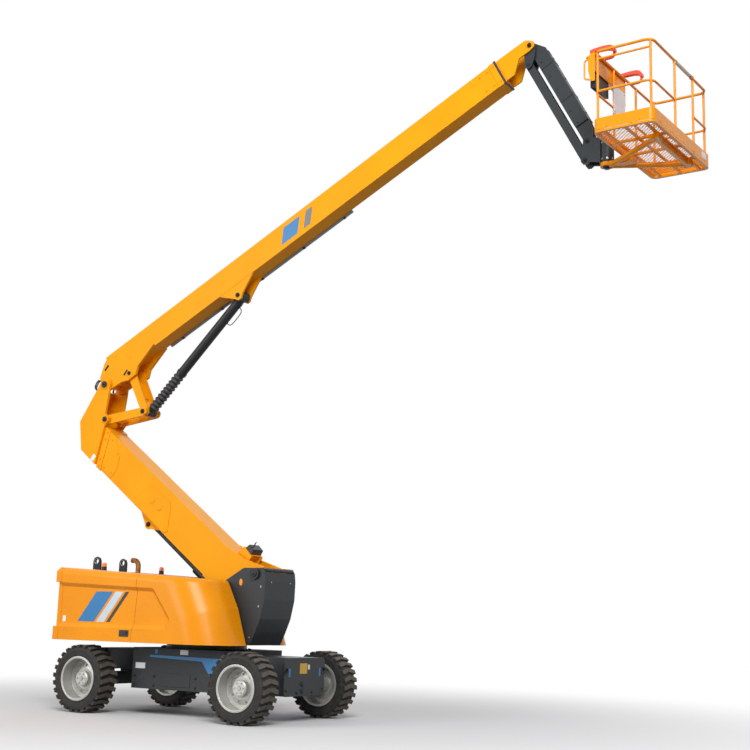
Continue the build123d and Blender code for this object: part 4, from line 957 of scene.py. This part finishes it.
class BOOMLIFT_OT_linkage(bpy.types.Operator):
    """Pin heads of the links, the lift cylinder's gland and hose, and its bellows"""
    bl_idname = "boomlift.linkage"
    bl_label = "Linkage"

    def execute(self, context):
        sizes = context.scene.boomlift_sizes
        pin_ends("lower_link_pin_heads", KNEE_PIN, 0.192, 0.040, sizes.bolt, "lower_link")
        pin_ends("upper_link_pin_heads", FOOT_PIN, 0.192, 0.034, sizes.bolt, "upper_boom")
        pin_ends("lift_pin_heads", LIFT_PIN, 0.142, 0.036, sizes.bolt, "lift_cylinder")
        self.cylinder(sizes)
        self.bellows()
        return {"FINISHED"}

    def cylinder(self, sizes):
        """Gland, foot band and hose fittings on the barrel, the hose, and the painted eye of the rod."""
        gland = [(BARREL_R, 0), (0.088, 0.004), (0.088, 0.040), (0.084, 0.046), (0.084, 0.060),
                 (BARREL_R, 0.064)]
        foot = [(BARREL_R, 0), (0.085, 0.004), (0.085, 0.030), (BARREL_R, 0.034)]
        bm = bmesh.new()
        lathe(bm, LIFT_PIN + LIFT_LINE * 1.640, LIFT_LINE, gland, 40)
        lathe(bm, LIFT_PIN + LIFT_LINE * 0.110, LIFT_LINE, foot, 40)
        upper, lower = (LIFT_PIN + LIFT_LINE * s for s in PORTS)
        for port in (upper, lower):
            ring(bm, port + LIFT_UNDER * 0.074, LIFT_UNDER, 0.018, 0.018, 6)
        piece("lift_cylinder_gland", bm, "black_paint", "lift_cylinder")
        route = bow(lower + LIFT_UNDER * 0.092, upper + LIFT_UNDER * 0.092, LIFT_UNDER, 0.0925)
        free_hose("lift_cylinder_hose", route, sizes.hose, "lift_cylinder")
        bm = bmesh.new()
        ring(bm, KNEE_PIN - Y * 0.0856, Y, 0.0715, 0.1712, 48)
        piece("lift_rod_eye_coat", bm, "black_paint", "lift_rod")

    def bellows(self):
        """Moulded boot with ten round folds, stretched between the gland and the rod's eye."""
        line = LIFT_LINE
        s0, s1 = 1.712, LIFT_REACH - 0.075
        rows = [(0.050, s0), (0.072, s0), (0.072, s0 + 0.012)]
        fold = (s1 - s0 - 0.03) / FOLDS
        for i in range(FOLDS):
            for t in (k / FOLD_STEPS for k in range(FOLD_STEPS)):
                rows.append((0.060 + 0.030 * sin(pi * t), s0 + 0.015 + fold * (i + t)))
        rows += [(0.060, s1 - 0.015), (0.072, s1 - 0.012), (0.072, s1), (0.050, s1)]
        bm = bmesh.new()
        lathe(bm, LIFT_PIN, line, rows, 40)
        boot = piece("lift_rod_bellows", bm, "black_rubber", None, 50)
        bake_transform(boot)
        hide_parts("rod_boot")


# Upper boom

KEEPER_ALONG, KEEPER_UP = UPPER_ALONG + UPPER_ACROSS * 0.4, UPPER_ACROSS - UPPER_ALONG * 0.4
COLLAR_S, WIPER_S, WIPER_L = 8.29, 8.402, 0.034   # places along the boom, and the wiper's width
END_BOLTS = ((8.10, 0.42), (8.10, 0.16), (8.24, 0.42), (8.24, 0.16), (8.355, 0.44), (8.355, 0.14))


class BOOMLIFT_OT_upper_boom(bpy.types.Operator):
    """Bosses, keepers, clamps, wiper, plain bars and the bolts of the sliding end"""
    bl_idname = "boomlift.upper_boom"
    bl_label = "Upper boom"

    def execute(self, context):
        flats = context.scene.boomlift_sizes.bolt
        bm = bmesh.new()
        for hand in (-1, 1):
            out = (0, hand, 0)
            for s, h in ((0.357, 0.382), (0.618, 0.197)):
                ring(bm, UPPER(s, h, hand * FOOT_SIDE), out, 0.036, 0.005, 40, 0.033)
            ring(bm, FOOT_PIN + Y * hand * FOOT_SIDE, out, 0.075, 0.005, 40)
        piece("boom_foot_bosses", bm, "boom_paint", "upper_boom")
        bm = bmesh.new()
        for hand in (-1, 1):
            out = Vector((0, hand, 0))
            for s, h in ((0.110, 0.283), (0.440, -0.020)):
                at = UPPER(s, h, hand * FOOT_SIDE)
                plate(bm, card(at, KEEPER_ALONG, KEEPER_UP, 0.11, 0.035), out, 0.008, 0.003)
                for k in (-0.03255, 0.03255):
                    bolt(bm, at + out * 0.008 + KEEPER_ALONG * k, out, flats * 0.6)
        clamp = [(0.0262, 0), (0.032, 0.003), (0.032, 0.041), (0.0262, 0.044)]
        for s in (1.53, 2.43, 3.33, 4.23, 5.08):
            lathe(bm, UPPER(s - 0.022, 0.085, 0.172), UPPER_ALONG, clamp, 28)
        piece("boom_keepers_and_clamps", bm, "black_paint", "upper_boom")
        self.band()
        self.bars()
        bm = bmesh.new()
        for hand in (-1, 1):
            for s, h in END_BOLTS:
                y = COLLAR_SIDE if s > COLLAR_S else TUBE_SIDE
                bolt(bm, UPPER(s, h, hand * y), (0, hand, 0), flats * 0.7)
        for s in (8.10, 8.24):
            for y in (-0.08, 0.08):
                bolt(bm, UPPER(s, 0.490, y), UPPER_ACROSS, flats * 0.7)
        piece("boom_end_bolts", bm, "boom_paint", "upper_boom")
        return {"FINISHED"}

    def band(self):
        """Dark wiper strip round the tube's open end."""
        bm = bmesh.new()
        for hand in (-1, 1):
            side = card(UPPER(WIPER_S, 0.290, hand * COLLAR_SIDE), UPPER_ALONG, UPPER_ACROSS, WIPER_L, 0.420)
            plate(bm, side, (0, hand, 0), 0.005, 0.002)
        for h, out in ((0.498, UPPER_ACROSS), (0.082, -UPPER_ACROSS)):
            plate(bm, card(UPPER(WIPER_S, h), UPPER_ALONG, Y, WIPER_L, 0.304), out, 0.005, 0.002)
        piece("boom_end_wiper", bm, "black_rubber", "upper_boom")

    def bars(self):
        """Two plain leaning bars on each side of the boom."""
        for slot, s, width in (("film_blue", 4.02, 0.34), ("film_grey", 4.49, 0.14)):
            bm = bmesh.new()
            for hand in (-1, 1):
                corners = slant(s, 0.17, width, 0.24, 0.16)
                plate(bm, [UPPER(a, h, hand * TUBE_SIDE) for a, h in corners], (0, hand, 0), FILM)
            piece("boom_bar_" + slot[5:], bm, slot, "upper_boom")


# Jib

class BOOMLIFT_OT_jib(bpy.types.Operator):
    """Pin heads, straps, bolts and pipes of the jib, and the rotator's bolts"""
    bl_idname = "boomlift.jib"
    bl_label = "Jib"

    def execute(self, context):
        sizes = context.scene.boomlift_sizes
        flats = sizes.bolt
        pin_ends("head_pin_ends", HEAD_PIN, 0.150, 0.034, flats * 0.9, "head_pin")
        pin_ends("jib_end_pin_ends", END, 0.118, 0.034, flats * 0.9, "platform_support")
        pin_ends("link_end_pin_ends", END + LINK_DROP, 0.116, 0.032, flats * 0.9, "platform_support")
        bm = bmesh.new()
        for hand in (-1, 1):
            ring(bm, HEAD_PIN + LINK_DROP + Y * hand * 0.110, (0, hand, 0), 0.032, 0.0025, 32, 0.030)
        piece("link_pin_ends", bm, "black_paint", "jib_bracket")
        bm = bmesh.new()
        for s in (0.42, 1.06):
            for hand in (-1, 1):
                side = card(JIB(s, 0.065, hand * JIB_SIDE), JIB_ALONG, JIB_ACROSS, 0.05, 0.21)
                plate(bm, side, (0, hand, 0), 0.006, 0.003)
            plate(bm, card(JIB(s, JIB_TOP), JIB_ALONG, Y, 0.05, 0.19), JIB_ACROSS, 0.006, 0.003)
        piece("jib_straps", bm, "dark_paint", "jib_arm")
        bm = bmesh.new()
        for hand in (-1, 1):
            for s in (0.33, 0.62, 0.86, 1.28, 1.50):
                bolt(bm, JIB(s, 0.020, hand * JIB_SIDE), (0, hand, 0), flats * 0.7)
        for s in (0.34, 0.74, 1.40):
            bolt(bm, JIB(s, JIB_TOP), JIB_ACROSS, flats * 0.8)
        piece("jib_bolts", bm, "dark_paint", "jib_arm")
        for i, y in enumerate((0.112, 0.130)):
            path = [JIB(0.31, 0.06, 0.095), JIB(0.35, 0.095, y), JIB(0.70, 0.100, y), JIB(1.20, 0.100, y),
                    JIB(1.49, 0.095, y), JIB(1.53, 0.05, 0.095)]
            hose("jib_pipe_%d" % i, path, sizes.hose, "black_rubber", "jib_arm")
        bm = bmesh.new()
        for s in (0.40, 0.80, 1.20, 1.50):
            plate(bm, card(JIB(s, 0.100, JIB_SIDE), JIB_ALONG, JIB_ACROSS, 0.035, 0.07), Y, 0.042, 0.006)
        piece("jib_pipe_clamps", bm, "black_plastic", "jib_arm")
        self.rotator(flats)
        return {"FINISHED"}

    def rotator(self, flats):
        """Two rows of bolts round the platform's rotator, left out where the jib's end is, and its lid."""
        bm = bmesh.new()
        at = Vector((ROTATOR_X, 0, END.z))
        for z in (-0.30, -0.06):
            for a in (2 * pi * (k + 0.5) / 8 for k in range(8)):
                out = Vector((cos(a), sin(a), 0))
                if out.x > -0.6:
                    bolt(bm, at + out * 0.100 + Z * z, out, flats * 0.7)
        ring(bm, at - Z * 0.020, Z, 0.082, 0.012, 40, 0.074)
        piece("rotator_bolts", bm, "pin_steel", "platform_support")


# Platform

FLOOR_X0, FLOOR_X1, FLOOR_HALF = ROTATOR_X + 0.255, ROTATOR_X + 1.115, 1.030
FLOOR_Z, FLOOR_CORNER, PLATFORM_TURN = END.z - 0.278, 0.09, radians(-4.0)
RAIL_Z, MID_Z = FLOOR_Z + 1.125, FLOOR_Z + 0.555
RAIL_BEND, RAIL_IN = 0.110, 0.024   # bend's radius, and the rails' line in from the floor's edge
FLOOR_DEEP, RIVET_Z = 0.030, FLOOR_Z + 0.035
LID_RUN, LID_RISE, LID_DROP = 0.125, 0.056, 0.022   # the console lid's slope, and its low edge under the rail
CONSOLE_X, CONSOLE_Y, CONSOLE_W = FLOOR_X0 + 0.0047, 0.08 - FLOOR_HALF, 1.000
PAD_OUTLINE = ((-0.074, 0.040), (0.160, 0.040), (0.222, 0.030), (0.258, -0.016), (0.290, -0.024),
               (0.284, 0.026), (0.256, 0.066), (0.205, 0.088), (0.100, 0.092), (-0.020, 0.084),
               (-0.074, 0.072))
PAD_W = 0.074


def on_platform(x, y, z):
    """Point of the platform as it stands, turned a little on its rotator."""
    c, s = cos(PLATFORM_TURN), sin(PLATFORM_TURN)
    dx = x - ROTATOR_X
    return Vector((ROTATOR_X + dx * c - y * s, dx * s + y * c, z))


def facing(x, y, z):
    """Direction on the platform as it stands."""
    return on_platform(ROTATOR_X + x, y, z) - on_platform(ROTATOR_X, 0, 0)


def rounded_loop(inset):
    """Floor outline in plan, moved in by inset, with seven points on each corner."""
    x0, x1, y = FLOOR_X0 + inset, FLOOR_X1 - inset, FLOOR_HALF - inset
    r = max(FLOOR_CORNER - inset, 0.01)
    points = []
    corners = ((x1 - r, y - r), (x0 + r, y - r), (x0 + r, r - y), (x1 - r, r - y))
    for quarter, (cx, cy) in enumerate(corners):
        for a in (radians(90 * quarter + 15 * k) for k in range(7)):
            points.append((cx + r * cos(a), cy + r * sin(a)))
    return points


def frame_ring(bm, outer, inner, z0, z1):
    """Flat ring between two loops of as many points."""
    rings = [[bm.verts.new(on_platform(x, y, z)) for x, y in loop]
             for loop, z in ((outer, z0), (outer, z1), (inner, z1), (inner, z0))]
    n = len(outer)
    for a in range(4):
        p, q = rings[a], rings[(a + 1) % 4]
        for k in range(n):
            bm.faces.new((p[k], p[(k + 1) % n], q[(k + 1) % n], q[k]))


def beam(bm, x0, x1, y0, y1, z0, z1):
    """Bar of the floor's frame, square to the platform."""
    corners = [on_platform(x, y, z0) for x, y in ((x0, y0), (x1, y0), (x1, y1), (x0, y1))]
    plate(bm, corners, Z, z1 - z0, 0.003)


def expanded_mesh(bm, strand):
    """Sheet slit and pulled open: rows of zigzag strands that meet at flat knuckles, 62 by 31 mm."""
    pitch, step, thick, rise, margin = 0.062, 0.031, 0.0035, 0.003, 0.04
    x0, x1, y = FLOOR_X0 + margin, FLOOR_X1 - margin, FLOOR_HALF - margin
    rows, cells = int((x1 - x0) / step), int(2 * y / pitch)
    for i in range(rows):
        line = []
        for k in range(2 * cells + 1):
            side = 0.5 if (k + i) % 2 else -0.5
            line.append((x0 + step * (i + 0.5) + side * (step - strand), -y + pitch * k / 2, side))
        loops = []
        for x, v, side in line:
            z = FLOOR_Z + 0.001 + (rise if side > 0 else 0.0)
            ends = [(x - strand, z), (x + strand, z), (x + strand, z + thick), (x - strand, z + thick)]
            loops.append([bm.verts.new(on_platform(a, v, b)) for a, b in ends])
        for p, q in zip(loops, loops[1:]):
            for k in range(4):
                bm.faces.new((p[k], p[(k + 1) % 4], q[(k + 1) % 4], q[k]))
        bm.faces.new(loops[0])
        bm.faces.new(loops[-1][::-1])


class BOOMLIFT_OT_platform(bpy.types.Operator):
    """Open mesh floor on its frame, post collars, console controls, hand guard pads and foam sleeve"""
    bl_idname = "boomlift.platform"
    bl_label = "Platform"

    def execute(self, context):
        sizes = context.scene.boomlift_sizes
        self.floor(sizes.strand)
        self.posts(sizes.bolt)
        self.console(sizes.bolt)
        self.guard_pads()
        self.gate()
        self.brace(sizes.bolt)
        return {"FINISHED"}

    def floor(self, strand):
        """Frame of the floor, and the open mesh on it."""
        bm = bmesh.new()
        z = FLOOR_Z
        frame_ring(bm, rounded_loop(0.0), rounded_loop(0.045), z - FLOOR_DEEP, z)
        for y in (-0.52, 0, 0.52):
            beam(bm, FLOOR_X0 + 0.03, FLOOR_X1 - 0.03, y - 0.02, y + 0.02, z - FLOOR_DEEP, z)
        for x in (FLOOR_X0 + 0.14, FLOOR_X0 + 0.44, FLOOR_X1 - 0.14):
            beam(bm, x - 0.018, x + 0.018, 0.03 - FLOOR_HALF, FLOOR_HALF - 0.03, z - 0.028, z)
        floor_frame = piece("platform_floor_frame", bm, "orange_paint", "platform")
        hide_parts("platform_floor")
        bm = bmesh.new()
        expanded_mesh(bm, strand)
        piece("platform_mesh_floor", bm, "orange_paint", "platform")

    def posts(self, flats):
        """Collars on the rail posts, and rivets and a blank plate on the toe board."""
        x0, x1, y = FLOOR_X0 + RAIL_IN, FLOOR_X1 - RAIL_IN, FLOOR_HALF - RAIL_IN
        d = RAIL_BEND * (1 - cos(radians(45)))
        places = ((x0 + d, d - y), (x1 - d, d - y), (x1 - d, y - d), (x0 + d, y - d), (x0, -0.38), (x0, 0.38),
                  (x1, -0.22), (x1, 0.45))
        bm = bmesh.new()
        for px, py in places:
            ring(bm, on_platform(px, py, FLOOR_Z + 0.006), Z, 0.0175, 0.030, 24, 0.024)
            ring(bm, on_platform(px, py, MID_Z - 0.022), Z, 0.0195, 0.044, 24)
        piece("post_collars", bm, "orange_paint", "platform")
        bm = bmesh.new()
        for k in (-0.8, -0.4, 0, 0.4, 0.8):
            for x, hand in ((FLOOR_X1, 1), (FLOOR_X0, -1)):
                bolt(bm, on_platform(x, k, RIVET_Z), facing(hand, 0, 0), flats * 0.6)
        for x in (FLOOR_X0 + 0.2, FLOOR_X0 + 0.66):
            for hand in (-1, 1):
                bolt(bm, on_platform(x, hand * FLOOR_HALF, RIVET_Z), facing(0, hand, 0), flats * 0.6)
        piece("toe_board_rivets", bm, "orange_paint", "platform")
        bm = bmesh.new()
        middle = on_platform(FLOOR_X1, 0.78, FLOOR_Z + 0.095)
        plate(bm, card(middle, facing(0, 1, 0), Z, 0.16, 0.09), facing(1, 0, 0), LABEL)
        piece("toe_board_blank_plate", bm, "blank_white", "platform")

    def console(self, flats):
        """Panel with levers, push buttons and a stop button on the console's lid."""
        lid = facing(LID_RUN, 0, LID_RISE).normalized()
        out = facing(-LID_RISE, 0, LID_RUN).normalized()
        side = facing(0, 1, 0)

        def spot(s, y, high=0.0):
            low_edge = on_platform(CONSOLE_X - LID_RUN, CONSOLE_Y + y, RAIL_Z - LID_DROP)
            return low_edge + lid * s + out * high
        bm = bmesh.new()
        plate(bm, card(spot(0.066, 0.50), lid, side, 0.104, 0.80), out, 0.004, 0.002)
        knob = [(0, 0), (0.012, 0.004), (0.015, 0.014), (0.010, 0.026), (0, 0.028)]
        for y in (0.20, 0.34, 0.62, 0.76):
            ring(bm, spot(0.045, y, 0.004), out, 0.022, 0.018, 24, 0.016)
            ring(bm, spot(0.045, y, 0.022), out + lid * 0.15, 0.007, 0.060, 14, 0.006)
            lathe(bm, spot(0.045, y, 0.078), out, knob, 20)
        for k in range(8):
            ring(bm, spot(0.095, 0.18 + 0.08 * k, 0.004), out, 0.010, 0.008, 18, 0.008)
        piece("console_panel", bm, "black_plastic", "platform")
        bm = bmesh.new()
        mushroom = [(0, 0), (0.012, 0), (0.012, 0.014), (0.022, 0.016), (0.022, 0.026), (0.016, 0.031),
                    (0, 0.033)]
        lathe(bm, spot(0.060, 0.48, 0.004), out, mushroom, 24)
        piece("console_stop_button", bm, "guard_red", "platform")
        bm = bmesh.new()
        for y in (0.55, 0.87):
            for drop in (0.275, 0.63):
                at = on_platform(FLOOR_X0 + 0.0473, CONSOLE_Y + y, RAIL_Z - drop)
                bolt(bm, at, facing(1, 0, 0), flats * 0.5)
        piece("board_rivets", bm, "pin_steel", "platform")

    def guard_pads(self):
        """Moulded pads on the two hand guards, thick along the top and drawn down over the bend."""
        bm = bmesh.new()
        for y in (0.040, CONSOLE_W - 0.040):
            side = CONSOLE_Y + y - PAD_W / 2
            corners = [on_platform(CONSOLE_X + a, side, RAIL_Z + h) for a, h in PAD_OUTLINE]
            plate(bm, corners, facing(0, 1, 0), PAD_W, 0.008)
        piece("hand_guard_pads", bm, "guard_red", "platform")

    def gate(self):
        """Foam sleeve on the gate's bar, and the clamps at its ends."""
        x = FLOOR_X1 - RAIL_IN
        bm = bmesh.new()
        for y0, y1 in ((-0.195, -0.155), (0.335, 0.375)):
            clamp = [(0.0198, 0), (0.0245, 0.003), (0.0245, y1 - y0 - 0.003), (0.0198, y1 - y0)]
            lathe(bm, on_platform(x, y0, RAIL_Z), facing(0, 1, 0), clamp, 28)
        piece("sleeve_clamps", bm, "pipe_grey", "gate_bar")
        bm = bmesh.new()
        foam = [(0.0198, 0), (0.026, 0.006), (0.027, 0.1), (0.027, 0.38), (0.026, 0.464), (0.0198, 0.470)]
        lathe(bm, on_platform(x, -0.145, RAIL_Z), facing(0, 1, 0), foam, 28)
        piece("foam_sleeve", bm, "grip_white", "gate_bar")

    def brace(self, flats):
        """Bolts where the brace tubes meet the floor, and the cap under the rotator."""
        top = FLOOR_Z - FLOOR_DEEP
        bm = bmesh.new()
        for hand in (-1, 1):
            for dx in (-0.045, 0.045):
                for dy in (-0.042, 0.042):
                    at = on_platform(FLOOR_X1 - 0.165 + dx, hand * 0.56 + dy, top - 0.075)
                    bolt(bm, at, -Z, flats * 0.8)
        for y in (-0.045, 0.045):
            bolt(bm, on_platform(FLOOR_X0 + 0.160, y, top - 0.06), facing(1, 0, 0), flats * 0.8)
        piece("brace_bolts", bm, "pin_steel", "platform")
        bm = bmesh.new()
        cap = [(0, 0), (0.060, 0), (0.060, 0.012), (0.035, 0.018), (0.035, 0.030), (0, 0.034)]
        lathe(bm, on_platform(ROTATOR_X, 0, END.z - 0.400), -Z, cap, 32)
        piece("rotator_cap", bm, "black_paint", "platform")


class BOOMLIFT_PT_panel(bpy.types.Panel):
    """Steps and settings of the boom lift"""
    bl_idname = "BOOMLIFT_PT_panel"
    bl_label = "Boom Lift"
    bl_space_type = "VIEW_3D"
    bl_region_type = "UI"
    bl_category = "Boom Lift"

    def draw(self, context):
        for op in STEPS:
            self.layout.operator(op.bl_idname)
        for group in (context.scene.boomlift_colours, context.scene.boomlift_sizes):
            box = self.layout.box()
            for key in group.__annotations__:
                box.prop(group, key)


STEPS = (BOOMLIFT_OT_stage, BOOMLIFT_OT_finishes, BOOMLIFT_OT_wheels, BOOMLIFT_OT_chassis,
         BOOMLIFT_OT_hoods, BOOMLIFT_OT_turntable, BOOMLIFT_OT_tower, BOOMLIFT_OT_linkage,
         BOOMLIFT_OT_upper_boom, BOOMLIFT_OT_jib, BOOMLIFT_OT_platform)
CLASSES = (LiftColours, LiftSizes) + STEPS + (BOOMLIFT_PT_panel,)


def register():
    for c in CLASSES:
        bpy.utils.register_class(c)
    bpy.types.Scene.boomlift_colours = PointerProperty(type=LiftColours)
    bpy.types.Scene.boomlift_sizes = PointerProperty(type=LiftSizes)


def unregister():
    del bpy.types.Scene.boomlift_sizes
    del bpy.types.Scene.boomlift_colours
    for c in reversed(CLASSES):
        bpy.utils.unregister_class(c)


def main():
    register()
    bpy.ops.boomlift.stage()
    bpy.ops.boomlift.finishes()
    bpy.ops.boomlift.wheels()
    bpy.ops.boomlift.chassis()
    bpy.ops.boomlift.hoods()
    bpy.ops.boomlift.turntable()
    bpy.ops.boomlift.tower()
    bpy.ops.boomlift.linkage()
    bpy.ops.boomlift.upper_boom()
    bpy.ops.boomlift.jib()
    bpy.ops.boomlift.platform()


if __name__ == "__main__":
    main()
